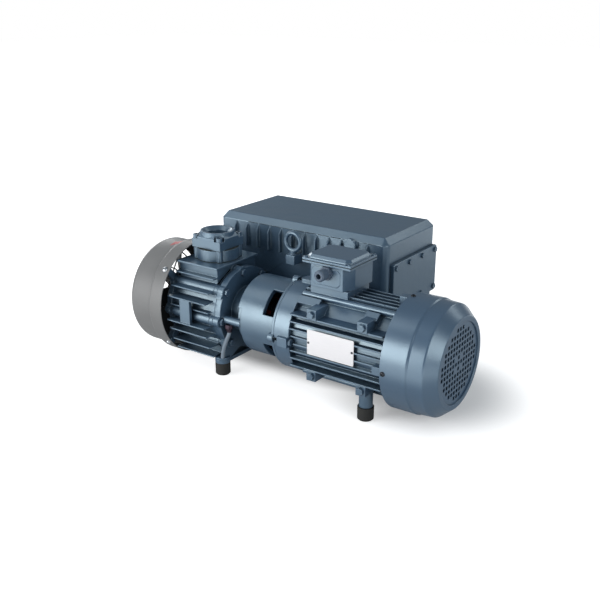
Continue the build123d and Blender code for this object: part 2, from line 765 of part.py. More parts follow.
with BuildPart() as pump_coupling_hub:
    with BuildSketch(facing_fan(pump_hub_face)):
        ring(coupling_radius, pump_shaft_radius + seat_gap)
    extrude(amount=coupling_body)
    with BuildSketch(facing_motor(pump_hub_face)):
        wedges(jaw_half_angle, 3, 0)
        Circle(coupling_radius, mode=Mode.INTERSECT)
        Circle(coupling_core, mode=Mode.SUBTRACT)
    extrude(amount=jaw_length)
pump_coupling_hub.part.label = "pump_coupling_hub"
export_step(pump_coupling_hub.part, "parts/pump_coupling_hub.step")

motor_shaft_end = 14.0
with BuildPart() as motor_coupling_hub:
    with BuildSketch(facing_motor(motor_hub_face)):
        ring(coupling_radius, motor_shaft_end + seat_gap)
    extrude(amount=coupling_body)
    with BuildSketch(facing_motor(motor_hub_face)):
        wedges(jaw_half_angle, 3, 60)
        Circle(coupling_radius, mode=Mode.INTERSECT)
        Circle(coupling_core, mode=Mode.SUBTRACT)
    extrude(amount=-jaw_length)
motor_coupling_hub.part.label = "motor_coupling_hub"
export_step(motor_coupling_hub.part, "parts/motor_coupling_hub.step")

with BuildPart() as coupling_spider:
    with BuildSketch(facing_motor(pump_hub_face + coupling_clearance)):
        wedges(leg_half_angle, 6, 30)
        Circle(coupling_radius, mode=Mode.INTERSECT)
        Circle(coupling_core - coupling_clearance)
        Circle(coupling_core / 2, mode=Mode.SUBTRACT)
    extrude(amount=coupling_gap - 2 * coupling_clearance)
coupling_spider.part.label = "coupling_spider"
export_step(coupling_spider.part, "parts/coupling_spider.step")

# Motor: drive end shield with a bearing pocket and four screw lugs
motor_shaft_radius = 15.0
motor_bearing_radius = 31.0
motor_bearing_width = 16.0
bearing_play = 2.0
shield_wall = 12.0
shield_rim = 14.0
shield_hub_radius = 37.0
shield_lug_width = 20.0
shield_lug_height = 97.0
head_recess_radius = 10.0
head_recess_depth = 8.0
stator_radius = 75.0
stator_bore = 45.0
stator_length = 130.0
rotor_gap = 0.5
x_stator = x_frame + 35.0
x_drive_bearing = x_shield + shield_wall + bearing_play
with BuildPart() as drive_end_shield:
    with BuildSketch(facing_motor(x_shield)):
        Circle(motor_flange_radius)
    extrude(amount=shield_length)
    with BuildSketch(facing_motor(x_shield + shield_wall)):
        ring(motor_flange_radius - shield_rim, shield_hub_radius)
    extrude(amount=shield_length - shield_wall, mode=Mode.SUBTRACT)
    with BuildSketch(facing_fan(x_frame)):
        Circle(shield_hub_radius)
    extrude(amount=x_frame - x_drive_bearing - motor_bearing_width, mode=Mode.SUBTRACT)
    with BuildSketch(facing_fan(x_frame)):
        Circle(motor_bearing_radius + seat_gap)
    extrude(amount=x_frame - x_drive_bearing, mode=Mode.SUBTRACT)
    with BuildSketch(facing_motor(x_shield)):
        Circle(motor_shaft_radius + 1)
    extrude(amount=shield_length, mode=Mode.SUBTRACT)
    with BuildSketch(facing_motor(x_shield + shield_wall)):
        with PolarLocations((shield_lug_height + motor_flange_radius - shield_rim) / 2, 4,
                            start_angle=flange_lug_start):
            Rectangle(shield_lug_height - motor_flange_radius + shield_rim, shield_lug_width)
    extrude(amount=shield_length - shield_wall)
    with BuildSketch(facing_motor(x_shield)):
        with PolarLocations(flange_lug_circle, 4, start_angle=flange_lug_start):
            Circle(m8[2] + thread_gap)
    extrude(amount=shield_length, mode=Mode.SUBTRACT)
drive_end_shield.part.label = "drive_end_shield"
export_step(drive_end_shield.part, "parts/drive_end_shield.step")

# Motor frame: bored tube with level side fins, upright fins above and below, roll ribs and pads
frame_radius = 80.0
frame_bore = stator_radius + slide_gap
fin_pitch = 14.5
side_fin_rows = 8
side_fin_reach = 86.0
upright_fin_rows = 5
upright_fin_reach = 88.0
roll_rib_angle = 64.0
roll_rib_distance = 87.0
roll_rib_radius = 6.0
gutter_lug_angle = 53.0
gutter_lug_reach = 91.0
gutter_lug_width = 17.0
gutter_lugs = [(x_frame, 46.0), (x_frame + 143.0, 27.0)]
pad_x = [x_frame + 50.0, x_frame + 157.0]
pad_z = 60.5
pad_size = 20.0
motor_pad_face = 88.0
pad_root = 45.0
box_neck_length = 81.0
box_neck_half_width = 38.0
box_left = x_frame + 14.5
box_right = x_frame + 99.5
box_neck_top = 98.0
box_x = x_frame + 53.0
cable_hole_radius = 17.0
motor_foot_x = x_frame + 153.0
pad_stud_depth = 12.0
with BuildPart() as motor_frame:
    with BuildSketch(facing_motor(x_frame)):
        Circle(frame_radius)
        with GridLocations(0, fin_pitch, 1, side_fin_rows):
            Rectangle(2 * side_fin_reach, fin_thickness)
        with GridLocations(fin_pitch, 0, upright_fin_rows, 1):
            Rectangle(fin_thickness, 2 * upright_fin_reach)
        for angle in (roll_rib_angle, 180 - roll_rib_angle, -roll_rib_angle, 180 + roll_rib_angle):
            with PolarLocations(roll_rib_distance, 1, start_angle=angle):
                Circle(roll_rib_radius)
            with PolarLocations((frame_radius + roll_rib_distance) / 2 - 1, 1, start_angle=angle):
                Rectangle(roll_rib_distance - frame_radius + 2, 1.4 * roll_rib_radius)
    extrude(amount=frame_length)
    for side in (1, -1):
        with BuildSketch(upright(side * pad_root)):
            with Locations(*[(x, z) for x in pad_x for z in (pad_z, -pad_z)]):
                Rectangle(pad_size, pad_size)
        extrude(amount=-side * (motor_pad_face - pad_root))
    for start, length in gutter_lugs:
        for angle in (gutter_lug_angle, 180 - gutter_lug_angle):
            with BuildSketch(radial(start + length / 2, angle, frame_radius - 5)):
                Rectangle(length, gutter_lug_width)
            extrude(amount=gutter_lug_reach - frame_radius + 5)
    with BuildSketch(level(frame_radius - 10)):
        with Locations((box_left + box_neck_length / 2, 0)):
            Rectangle(box_neck_length, 2 * box_neck_half_width)
    extrude(amount=box_neck_top - frame_radius + 10)
    with BuildSketch(facing_motor(x_frame)):
        Circle(frame_bore)
    extrude(amount=frame_length, mode=Mode.SUBTRACT)
    with BuildSketch(facing_motor(x_frame)):
        with PolarLocations(flange_lug_circle + 2, 4, start_angle=flange_lug_start):
            Circle(head_recess_radius)
    extrude(amount=head_recess_depth, mode=Mode.SUBTRACT)
    with BuildSketch(level(box_neck_top)):
        with Locations((box_x, 0)):
            Circle(cable_hole_radius)
    extrude(amount=-frame_radius, mode=Mode.SUBTRACT)
    for side in (1, -1):
        with BuildSketch(upright(side * motor_pad_face)):
            with Locations(*[(x, z) for x in pad_x for z in (pad_z, -pad_z)]):
                Circle(m8[2] + thread_gap)
        extrude(amount=side * m8_reach, mode=Mode.SUBTRACT)
    with BuildSketch(level(-pad_z - pad_size / 2)):
        with Locations((motor_foot_x, foot_front)):
            Circle(foot_bolt_radius + thread_gap)
    extrude(amount=pad_stud_depth, mode=Mode.SUBTRACT)
motor_frame.part.label = "motor_frame"
export_step(motor_frame.part, "parts/motor_frame.step")

# Fan end shield with its bearing pocket and the lugs that hold the cowl
cowl_wall = 2.0
cowl_radius = 107.0
cowl_lug_middle = 5.0
cowl_lug_width = 16.0
cowl_lug_length = 28.0
x_cowl_screw = x_cowl + 7.0
cowl_lug_top = math.sqrt((cowl_radius - cowl_wall - slide_gap) ** 2 - (cowl_lug_width / 2) ** 2)
x_fan_bearing = x_fan_shield + 2.0
fan_shield_wall = 10.0
x_fan_wall = x_fan_shield + 8.0
with BuildPart() as fan_end_shield:
    with BuildSketch(facing_motor(x_fan_shield)):
        Circle(motor_flange_radius)
    extrude(amount=x_fan_wall + fan_shield_wall - x_fan_shield)
    with BuildSketch(facing_motor(x_fan_shield)):
        ring(motor_flange_radius - shield_rim, shield_hub_radius)
    extrude(amount=x_fan_wall - x_fan_shield, mode=Mode.SUBTRACT)
    with BuildSketch(facing_motor(x_fan_wall + fan_shield_wall)):
        Circle(shield_hub_radius)
    extrude(amount=fan_shield_length - fan_shield_wall - x_fan_wall + x_fan_shield)
    with BuildSketch(facing_motor(x_fan_shield)):
        Circle(motor_bearing_radius + seat_gap)
    extrude(amount=x_fan_bearing + motor_bearing_width - x_fan_shield, mode=Mode.SUBTRACT)
    with BuildSketch(facing_motor(x_fan_shield)):
        Circle(motor_shaft_radius + 1)
    extrude(amount=fan_shield_length, mode=Mode.SUBTRACT)
    for number in range(4):
        angle = number * 90 - 3
        with BuildSketch(radial(x_fan_shield + cowl_lug_middle, angle, upright_fin_reach + 0.5)):
            Rectangle(cowl_lug_length, cowl_lug_width)
        extrude(amount=cowl_lug_top - upright_fin_reach - 0.5)
        with BuildSketch(radial(x_cowl_screw, angle, cowl_lug_top)):
            Circle(2.5 + thread_gap)
        extrude(amount=-12, mode=Mode.SUBTRACT)
fan_end_shield.part.label = "fan_end_shield"
export_step(fan_end_shield.part, "parts/fan_end_shield.step")

# Stator core, end windings, rotor core and shaft
with BuildPart() as stator_core:
    with BuildSketch(facing_motor(x_stator)):
        ring(stator_radius, stator_bore)
    extrude(amount=stator_length)
stator_core.part.label = "stator_core"
export_step(stator_core.part, "parts/stator_core.step")

winding_length = 20.0
winding_outer = 70.0
winding_inner = 49.0
with BuildPart() as stator_windings:
    for station in (x_stator - winding_length, x_stator + stator_length):
        with BuildSketch(upright(0)):
            with Locations((station + winding_length / 2, (winding_outer + winding_inner) / 2)):
                RectangleRounded(winding_length, winding_outer - winding_inner, 6)
        revolve(axis=shaft_axis)
stator_windings.part.label = "stator_windings"
export_step(stator_windings.part, "parts/stator_windings.step")

with BuildPart() as rotor_core:
    with BuildSketch(facing_motor(x_stator)):
        ring(stator_bore - rotor_gap, motor_shaft_radius + seat_gap)
    extrude(amount=stator_length)
rotor_core.part.label = "rotor_core"
export_step(rotor_core.part, "parts/rotor_core.step")

motor_fan_length = 30.0
x_motor_fan = x_fan_shield + fan_shield_length + 12.0
shaft_step = x_shield + 1.0
with BuildPart() as motor_shaft:
    with BuildSketch(facing_motor(shaft_step)):
        Circle(motor_shaft_radius)
    extrude(amount=x_fan_bearing + motor_bearing_width - shaft_step)
    with BuildSketch(facing_motor(motor_hub_face)):
        Circle(motor_shaft_end)
    extrude(amount=shaft_step - motor_hub_face)
    with BuildSketch(facing_motor(x_fan_bearing + motor_bearing_width)):
        Circle(motor_shaft_end)
    extrude(amount=x_motor_fan + motor_fan_length - x_fan_bearing - motor_bearing_width)
motor_shaft.part.label = "motor_shaft"
export_step(motor_shaft.part, "parts/motor_shaft.step")

# Bearings and shaft seals: two in the pump's end plates, two in the motor's shields
with BuildPart() as bearings:
    for station in (x_fan_plate - hub_length + seal_width, x_neck + hub_depth - seal_width - bearing_width):
        with BuildSketch(facing_motor(station)):
            ring(bearing_outer_radius, pump_shaft_radius + running_gap)
        extrude(amount=bearing_width)
    for station in (x_drive_bearing, x_fan_bearing):
        with BuildSketch(facing_motor(station)):
            ring(motor_bearing_radius, motor_shaft_radius + running_gap)
        extrude(amount=motor_bearing_width)
bearings.part.label = "bearings"
export_step(bearings.part, "parts/bearings.step")

with BuildPart() as shaft_seals:
    for station in (x_fan_plate - hub_length, x_neck + hub_depth - seal_width):
        with BuildSketch(facing_motor(station)):
            ring(bearing_outer_radius, pump_shaft_radius + running_gap)
        extrude(amount=seal_width)
shaft_seals.part.label = "shaft_seals"
export_step(shaft_seals.part, "parts/shaft_seals.step")

# Radial motor fan: hub, back disc and straight blades
motor_fan_radius = 92.0
motor_fan_blades = 8
motor_fan_blade = 3.0
motor_fan_hub = 24.0
motor_fan_disc = 60.0
with BuildPart() as motor_fan:
    with BuildSketch(facing_motor(x_motor_fan)):
        ring(motor_fan_hub, motor_shaft_end + seat_gap)
    extrude(amount=motor_fan_length)
    with BuildSketch(facing_motor(x_motor_fan)):
        ring(motor_fan_disc, motor_fan_hub - motor_fan_blade)
    extrude(amount=motor_fan_blade)
    with BuildSketch(facing_motor(x_motor_fan)):
        with PolarLocations((motor_fan_radius + motor_fan_hub - motor_fan_blade) / 2, motor_fan_blades):
            Rectangle(motor_fan_radius - motor_fan_hub + motor_fan_blade, motor_fan_blade)
    extrude(amount=motor_fan_length)
motor_fan.part.label = "motor_fan"
export_step(motor_fan.part, "parts/motor_fan.step")

# Motor fan cowl: stepped drum, cone and rolled mouth
cowl_rear_radius = 105.0
cowl_step_start = 49.0
cowl_step_end = 53.0
cone_start = 80.5
cone_start_radius = 103.2
cone_end_radius = 85.0
mouth_radius = 75.5
mouth_depth = 3.0
mouth_edge = 1.5
lip_edge = 2.5
x_cowl_end = x_cowl + cowl_length
with BuildPart() as motor_fan_cowl:
    with BuildSketch(upright(0)):
        with BuildLine():
            Polyline((x_cowl, cowl_radius), (x_cowl + cowl_step_start, cowl_radius),
                     (x_cowl + cowl_step_end, cowl_rear_radius), (x_cowl + cone_start, cone_start_radius),
                     (x_cowl_end - 2, cone_end_radius), (x_cowl_end, cone_end_radius - lip_edge),
                     (x_cowl_end, mouth_radius + mouth_edge), (x_cowl_end - mouth_edge, mouth_radius),
                     (x_cowl_end - mouth_depth, mouth_radius),
                     (x_cowl_end - mouth_depth, cone_end_radius - cowl_wall),
                     (x_cowl + cone_start - 1, cone_start_radius - cowl_wall),
                     (x_cowl + cowl_step_end, cowl_rear_radius - cowl_wall),
                     (x_cowl + cowl_step_start, cowl_radius - cowl_wall),
                     (x_cowl, cowl_radius - cowl_wall), (x_cowl, cowl_radius))
        make_face()
    revolve(axis=shaft_axis)
    for number in range(4):
        with BuildSketch(radial(x_cowl_screw, number * 90 - 3, cowl_radius + 1)):
            Circle(2.5 + thread_gap)
        extrude(amount=-2 * cowl_wall, mode=Mode.SUBTRACT)
motor_fan_cowl.part.label = "motor_fan_cowl"
export_step(motor_fan_cowl.part, "parts/motor_fan_cowl.step")

# Grille disc behind the cowl's mouth: square holes in a grid, four left solid round the middle
grille_thickness = 1.6
grille_radius = 82.0
grille_hole = 7.2
grille_pitch = 10.7
grille_zone = 66.0
grille_steps = int(grille_zone / grille_pitch)
with BuildPart() as cowl_grille:
    with BuildSketch(facing_motor(x_cowl_end - mouth_depth - grille_thickness)):
        Circle(grille_radius)
        holes = []
        for row in range(-grille_steps, grille_steps + 1):
            for column in range(-grille_steps, grille_steps + 1):
                spot = (column * grille_pitch, row * grille_pitch)
                solid_spot = abs(row) == 1 and abs(column) == 1
                if math.hypot(*spot) < grille_zone and not solid_spot:
                    holes.append(spot)
        with Locations(*holes):
            Rectangle(grille_hole, grille_hole, mode=Mode.SUBTRACT)
    extrude(amount=grille_thickness)
cowl_grille.part.label = "cowl_grille"
export_step(cowl_grille.part, "parts/cowl_grille.step")

# Terminal box: base with a cable entry, bevelled lid, screws in the lid's corners and terminal block
box_half_width = 42.0
box_height = 48.0
box_wall = 4.0
box_corner = 3.0
box_cut_length = 12.7
box_cut_width = 22.8
box_rim = 4.3
box_panel = 1.2
box_panel_length = 62.0
box_panel_height = 33.0
box_panel_drop = 8.0
box_panel_corner = 6.0
lid_half_length = 53.0
lid_half_width = 46.2
lid_rim = 4.2
lid_corner = 2.0
lid_top_half_length = 48.0
lid_top_half_width = 41.2
lid_top_height = 7.0
lid_bevel = 5.0
lid_cut = 9.0
lid_hollow = 6.0
lid_hollow_corner = 10.0
gland_thread_radius = 10.0
gland_z = box_neck_top + 31.0
lid_screw_inset = 5.5
m5_radius = 2.5
z_box_rim = box_neck_top + box_height
z_lid = z_box_rim + gasket_thickness


# Outline of the terminal box moved inwards by a wall; its front corner towards the cowl is cut away
def box_outline(wall, mode=Mode.ADD):
    left = box_left + wall
    right = box_right - wall
    front = -box_half_width + wall
    back = box_half_width - wall
    Polygon((left, front), (right - box_cut_length, front), (right, front + box_cut_width), (right, back),
            (left, back), align=None, mode=mode)


def lid_screws(radius, mode=Mode.ADD):
    with Locations((box_x, 0)):
        with GridLocations(2 * (lid_half_length - lid_screw_inset),
                           2 * (lid_half_width - lid_screw_inset), 2, 2):
            Circle(radius, mode=mode)


with BuildPart() as terminal_box_base:
    with BuildSketch(level(box_neck_top)) as box_section:
        box_outline(0)
        chamfer(box_section.vertices().group_by(Axis.X)[0], box_corner)
    extrude(amount=box_height)
    with BuildSketch(level(z_box_rim)):
        with Locations((box_x, 0)):
            RectangleRounded(2 * lid_half_length, 2 * lid_half_width, lid_corner)
    extrude(amount=-box_rim)
    with BuildSketch(level(box_neck_top + box_wall)):
        box_outline(box_wall)
    extrude(amount=box_height - box_wall, mode=Mode.SUBTRACT)
    with BuildSketch(upright(-box_half_width)) as panel:
        with Locations(((box_left + box_right - box_cut_length) / 2, gland_z - box_panel_drop)):
            Rectangle(box_panel_length, box_panel_height)
        chamfer(panel.vertices(), box_panel_corner)
    extrude(amount=box_panel)
    with BuildSketch(upright(-box_half_width - box_panel)):
        with Locations((box_x, gland_z)):
            Circle(gland_thread_radius + thread_gap)
    extrude(amount=-box_wall - 2 * box_panel, mode=Mode.SUBTRACT)
    with BuildSketch(level(box_neck_top)):
        with Locations((box_x, 0)):
            Circle(cable_hole_radius)
    extrude(amount=box_wall, mode=Mode.SUBTRACT)
    with BuildSketch(level(z_box_rim)):
        lid_screws(m5_radius + thread_gap)
    extrude(amount=-box_rim, mode=Mode.SUBTRACT)
terminal_box_base.part.label = "terminal_box_base"
export_step(terminal_box_base.part, "parts/terminal_box_base.step")

with BuildPart() as terminal_box_lid:
    with BuildSketch(level(z_lid + lid_rim)) as lid_top:
        with Locations((box_x, 0)):
            Rectangle(2 * lid_top_half_length, 2 * lid_top_half_width)
        chamfer(lid_top.vertices(), lid_cut)
    extrude(amount=lid_top_height)
    chamfer(terminal_box_lid.faces().sort_by(Axis.Z)[-1].edges(), lid_bevel)
    with BuildSketch(level(z_lid)):
        with Locations((box_x, 0)):
            RectangleRounded(2 * lid_half_length, 2 * lid_half_width, lid_corner)
    extrude(amount=lid_rim)
    with BuildSketch(level(z_lid)):
        with Locations(((box_left + box_right) / 2, 0)):
            RectangleRounded(box_right - box_left - 2 * box_wall, 2 * (box_half_width - 2 * box_wall),
                             lid_hollow_corner)
    extrude(amount=lid_hollow, mode=Mode.SUBTRACT)
    with BuildSketch(level(z_lid)):
        lid_screws(m5_radius + thread_gap)
    extrude(amount=lid_rim, mode=Mode.SUBTRACT)
terminal_box_lid.part.label = "terminal_box_lid"
export_step(terminal_box_lid.part, "parts/terminal_box_lid.step")

block_length = 50.0
block_width = 22.0
block_height = 10.0
post_height = 5.0
with BuildPart() as terminal_block:
    with BuildSketch(level(box_neck_top + box_wall)):
        with Locations((box_x, box_half_width - box_wall - block_width / 2 - seat_gap)):
            Rectangle(block_length, block_width)
    extrude(amount=block_height)
    with BuildSketch(level(box_neck_top + box_wall + block_height)):
        with Locations((box_x, box_half_width - box_wall - block_width / 2)):
            with GridLocations(block_length / 3, block_width / 2, 3, 2):
                RegularPolygon(post_height, 6)
    extrude(amount=post_height)
terminal_block.part.label = "terminal_block"
export_step(terminal_block.part, "parts/terminal_block.step")

# Cable gland with an empty entry: hexagon body, neck, domed nut and thread through the wall
gland_hex = 24.0
gland_body = 6.0
gland_neck = 11.0
gland_nut = 10.0
gland_nut_radius = 10.8
gland_nut_bevel = 2.6
gland_bore_radius = 5.0
gland_face = -box_half_width - box_panel
with BuildPart() as cable_gland:
    with BuildSketch(upright(gland_face - gland_body - gland_neck)):
        with Locations((box_x, gland_z)):
            Circle(gland_nut_radius)
    extrude(amount=gland_nut)
    chamfer(cable_gland.faces().sort_by(Axis.Y)[0].edges(), gland_nut_bevel)
    with BuildSketch(upright(gland_face)):
        with Locations((box_x, gland_z)):
            RegularPolygon(gland_hex / math.sqrt(3), 6)
    extrude(amount=gland_body)
    with BuildSketch(upright(gland_face + box_wall)):
        with Locations((box_x, gland_z)):
            Circle(gland_thread_radius)
    extrude(amount=box_wall + gland_body + gland_neck)
    with BuildSketch(upright(gland_face + box_wall)):
        with Locations((box_x, gland_z)):
            Circle(gland_bore_radius)
    extrude(amount=box_wall + gland_body + gland_neck + gland_nut, mode=Mode.SUBTRACT)
cable_gland.part.label = "cable_gland"
export_step(cable_gland.part, "parts/cable_gland.step")

# Blank rating plate on the side fins
plate_length = 100.0
plate_height = 49.0
plate_thickness = 1.0
plate_corner = 2.0
plate_x = x_frame + 90.5
plate_z = 6.5
with BuildPart() as nameplate:
    with BuildSketch(upright(-side_fin_reach)):
        with Locations((plate_x, plate_z)):
            RectangleRounded(plate_length, plate_height, plate_corner)
    extrude(amount=plate_thickness)
nameplate.part.label = "nameplate"
export_step(nameplate.part, "parts/nameplate.step")

# Oil separator: cast box with bevelled top, twelve front ribs, walls and openings
separator_length = 418.0
separator_height = 256.5
separator_bevel = 13.0
separator_corner = 14.0
separator_wall = 6.0
separator_offset = 70.5
separator_x = x_cover + separator_offset
separator_bottom = -rail_to_shaft
separator_top = separator_bottom + separator_height
separator_middle = separator_x + separator_length / 2
separator_depth_middle = (separator_front + separator_back) / 2
separator_end = separator_x + separator_length
rib_count = 12
rib_start_margin = 46.5
rib_end_margin = 43.7
rib_pitch = (separator_length - rib_start_margin - rib_end_margin) / (rib_count - 1)
rib_first = separator_x + rib_start_margin
rib_thickness = 3.0
rib_reach = 9.0
rib_top = 148.0
rib_shoulder = 136.5
rib_bottom = 96.0
cover_opening_bottom = 27.0
cover_opening_top = 94.0
cover_opening_front = 137.0
cover_opening_back = 286.0
cover_plate_thickness = 8.0
cover_plate_front = 120.0
cover_plate_back = 303.0
cover_plate_bottom = 10.0
cover_plate_top = 110.0
cover_plate_y = (cover_plate_front + cover_plate_back) / 2
cover_plate_z = (cover_plate_bottom + cover_plate_top) / 2
cover_screw_y = [129.0, 184.0, 238.0, 294.0]
cover_screw_z = [101.0, 20.0]
m6 = (10.0, 4.0, 3.0)
exhaust_y = 250.0
exhaust_z = 100.0
exhaust_bore = 19.5
sight_thread_step = 3.0
sight_y = 165.0
sight_z = -20.0
sight_radius = 15.0
fill_y = 150.0
fill_z = 70.0
drain_y = 165.0
drain_z = -78.0
plug_radius = 9.0
filter_y = 250.0
filter_z = -42.0
filter_thread_radius = 9.0
eye_x = x_cover + 284.0
eye_y = 80.0
eye_z = 132.0
eye_radius = 18.0
eye_wire = 4.5
eye_lug_half = 11.0
eye_lug_top = eye_z - eye_radius - eye_wire - 4.0
eye_lug_bottom = eye_lug_top - 20.0
eye_thread = 14.0
boss_x = x_cover + 409.0
boss_z = 141.0
boss_radius = 13.0
recess_end = x_cover + cover_length + 3.0
recess_back = collar_radius + 4.0
recess_top = 62.0
foot_boss_x = x_cover + 455.0


def end_screws(radius, mode=Mode.ADD):
    with Locations(*[(y, z) for y in cover_screw_y for z in cover_screw_z]):
        Circle(radius, mode=mode)


def separator_inside():
    with Locations((separator_middle, separator_depth_middle)):
        RectangleRounded(separator_length - 2 * separator_wall, separator_depth - 2 * separator_wall,
                         separator_corner - separator_wall)


with BuildPart() as separator_housing:
    with BuildSketch(level(separator_bottom)):
        with Locations((separator_middle, separator_depth_middle)):
            RectangleRounded(separator_length, separator_depth, separator_corner)
    extrude(amount=separator_height)
    chamfer(separator_housing.faces().sort_by(Axis.Z)[-1].edges(), separator_bevel)
    with BuildSketch(level(separator_bottom)):
        with Locations((separator_x, separator_front)):
            Rectangle(recess_end - separator_x, recess_back - separator_front, align=(Align.MIN, Align.MIN))
    extrude(amount=recess_top - separator_bottom, mode=Mode.SUBTRACT)
    with BuildSketch(level(separator_bottom + separator_wall)):
        separator_inside()
        with Locations((separator_x, separator_front)):
            Rectangle(recess_end + separator_wall - separator_x,
                      recess_back + separator_wall - separator_front,
                      align=(Align.MIN, Align.MIN), mode=Mode.SUBTRACT)
    extrude(amount=recess_top - separator_bottom, mode=Mode.SUBTRACT)
    with BuildSketch(level(recess_top + separator_wall)):
        separator_inside()
    extrude(amount=separator_top - separator_bevel - recess_top - separator_wall, mode=Mode.SUBTRACT)
    for number in range(rib_count):
        with BuildSketch(facing_motor(rib_first + number * rib_pitch - rib_thickness / 2)):
            with BuildLine():
                Polyline((separator_front, rib_top), (separator_front - rib_reach, rib_shoulder),
                         (separator_front - rib_reach, rib_bottom), (separator_front, rib_bottom),
                         (separator_front, rib_top))
            make_face()
        extrude(amount=rib_thickness)
    with BuildSketch(upright(separator_front)):
        with Locations((boss_x, boss_z)):
            Circle(boss_radius)
    extrude(amount=rib_reach)
    with BuildSketch(upright(separator_front)):
        with Locations((eye_x, (eye_lug_top + eye_lug_bottom) / 2)):
            Rectangle(2 * eye_lug_half, eye_lug_top - eye_lug_bottom)
    extrude(amount=separator_front - eye_y + eye_lug_half)
    with BuildSketch(level(eye_lug_top)):
        with Locations((eye_x, eye_y)):
            Circle(m8[2] + thread_gap)
    extrude(amount=-eye_thread, mode=Mode.SUBTRACT)
    with BuildSketch(level(separator_bottom)):
        with Locations((foot_boss_x, foot_rear)):
            Circle(foot_radius)
    extrude(amount=-rail_thickness)
    with BuildSketch(level(separator_bottom - rail_thickness)):
        with Locations((foot_boss_x, foot_rear), (rail_x, foot_rear)):
            Circle(foot_bolt_radius + thread_gap)
    extrude(amount=rail_thickness + separator_wall, mode=Mode.SUBTRACT)
    with BuildSketch(upright(separator_front)):
        with Locations((x_cylinder_middle, outlet_z)):
            Rectangle(outlet_window_width, outlet_window_height)
        outlet_screws(m8[2] + thread_gap)
    extrude(amount=-separator_wall, mode=Mode.SUBTRACT)
    with BuildSketch(facing_fan(separator_end)):
        with Locations((-(cover_opening_front + cover_opening_back) / 2,
                        (cover_opening_bottom + cover_opening_top) / 2)):
            Rectangle(cover_opening_back - cover_opening_front, cover_opening_top - cover_opening_bottom)
    extrude(amount=separator_wall, mode=Mode.SUBTRACT)
    with BuildSketch(facing_motor(separator_end - separator_wall)):
        end_screws(m6[2] + thread_gap)
    extrude(amount=separator_wall, mode=Mode.SUBTRACT)
    with BuildSketch(facing_motor(separator_x)):
        with Locations((exhaust_y, exhaust_z)):
            Circle(exhaust_bore)
        with Locations((sight_y, sight_z)):
            Circle(sight_radius - sight_thread_step)
        with Locations((fill_y, fill_z), (drain_y, drain_z)):
            Circle(plug_radius + thread_gap)
        with Locations((filter_y, filter_z)):
            Circle(filter_thread_radius + thread_gap)
    extrude(amount=separator_wall, mode=Mode.SUBTRACT)
separator_housing.part.label = "separator_housing"
export_step(separator_housing.part, "parts/separator_housing.step")

# Exhaust cover plate with its eight screws
x_cover_plate = separator_end + gasket_thickness
with BuildPart() as exhaust_cover_plate:
    with BuildSketch(facing_motor(x_cover_plate)):
        with Locations((cover_plate_y, cover_plate_z)):
            RectangleRounded(cover_plate_back - cover_plate_front, cover_plate_top - cover_plate_bottom, 4)
    extrude(amount=cover_plate_thickness)
    chamfer(exhaust_cover_plate.faces().sort_by(Axis.X)[-1].edges(), 1)
    with BuildSketch(facing_motor(x_cover_plate)):
        end_screws(m6[2] + thread_gap)
    extrude(amount=cover_plate_thickness, mode=Mode.SUBTRACT)
exhaust_cover_plate.part.label = "exhaust_cover_plate"
export_step(exhaust_cover_plate.part, "parts/exhaust_cover_plate.step")

m6_screw = hex_screw(m6, cover_plate_thickness + gasket_thickness + separator_wall - 0.5)
with BuildPart() as exhaust_cover_screws:
    with Locations(facing_motor(x_cover_plate + cover_plate_thickness)):
        with Locations(*[(y, z) for y in cover_screw_y for z in cover_screw_z]):
            add(m6_screw)
exhaust_cover_screws.part.label = "exhaust_cover_screws"
export_step(exhaust_cover_screws.part, "parts/exhaust_cover_screws.step")

# Sheet partition: shelf above the oil with a duct whose two seats take the filters
filter_radius = 31.0
filter_core_radius = 14.0
spring_room = 52.0
filter_neck = 8.0
filter_neck_radius = 18.0
filter_axis_y = [172.0, 250.0]
filter_axis_z = (cover_opening_bottom + cover_opening_top) / 2
sheet = 3.0
shelf_z = cover_opening_bottom - sheet - 1.0
duct_x = separator_x + 70.0
duct_depth = 26.0
filter_start = duct_x + duct_depth + slide_gap
filter_length = separator_end - spring_room - filter_start
duct_top = cover_opening_top + 4.0
duct_front = cover_opening_front - 6.0
duct_back = cover_opening_back + 6.0
inner_length = separator_length - 2 * separator_wall
inner_depth = separator_depth - 2 * separator_wall
with BuildPart() as filter_partition:
    with BuildSketch(level(shelf_z)):
        with Locations((separator_middle, separator_depth_middle)):
            RectangleRounded(inner_length - 2 * slide_gap, inner_depth - 2 * slide_gap,
                             separator_corner - separator_wall)
        with Locations((separator_x, separator_front)):
            Rectangle(recess_end + separator_wall + slide_gap - separator_x,
                      recess_back + separator_wall + slide_gap - separator_front,
                      align=(Align.MIN, Align.MIN), mode=Mode.SUBTRACT)
    extrude(amount=sheet)
    with BuildSketch(level(shelf_z)):
        with Locations((duct_x + duct_depth / 2, (duct_front + duct_back) / 2)):
            Rectangle(duct_depth, duct_back - duct_front)
    extrude(amount=duct_top - shelf_z)
    with BuildSketch(level(shelf_z)):
        with Locations((duct_x + duct_depth / 2, (duct_front + duct_back) / 2)):
            Rectangle(duct_depth - 2 * sheet, duct_back - duct_front - 2 * sheet)
    extrude(amount=duct_top - shelf_z - sheet, mode=Mode.SUBTRACT)
    with BuildSketch(facing_fan(duct_x + duct_depth)):
        with Locations(*[(-y, filter_axis_z) for y in filter_axis_y]):
            Circle(filter_neck_radius + slide_gap)
    extrude(amount=sheet, mode=Mode.SUBTRACT)
filter_partition.part.label = "filter_partition"
export_step(filter_partition.part, "parts/filter_partition.step")

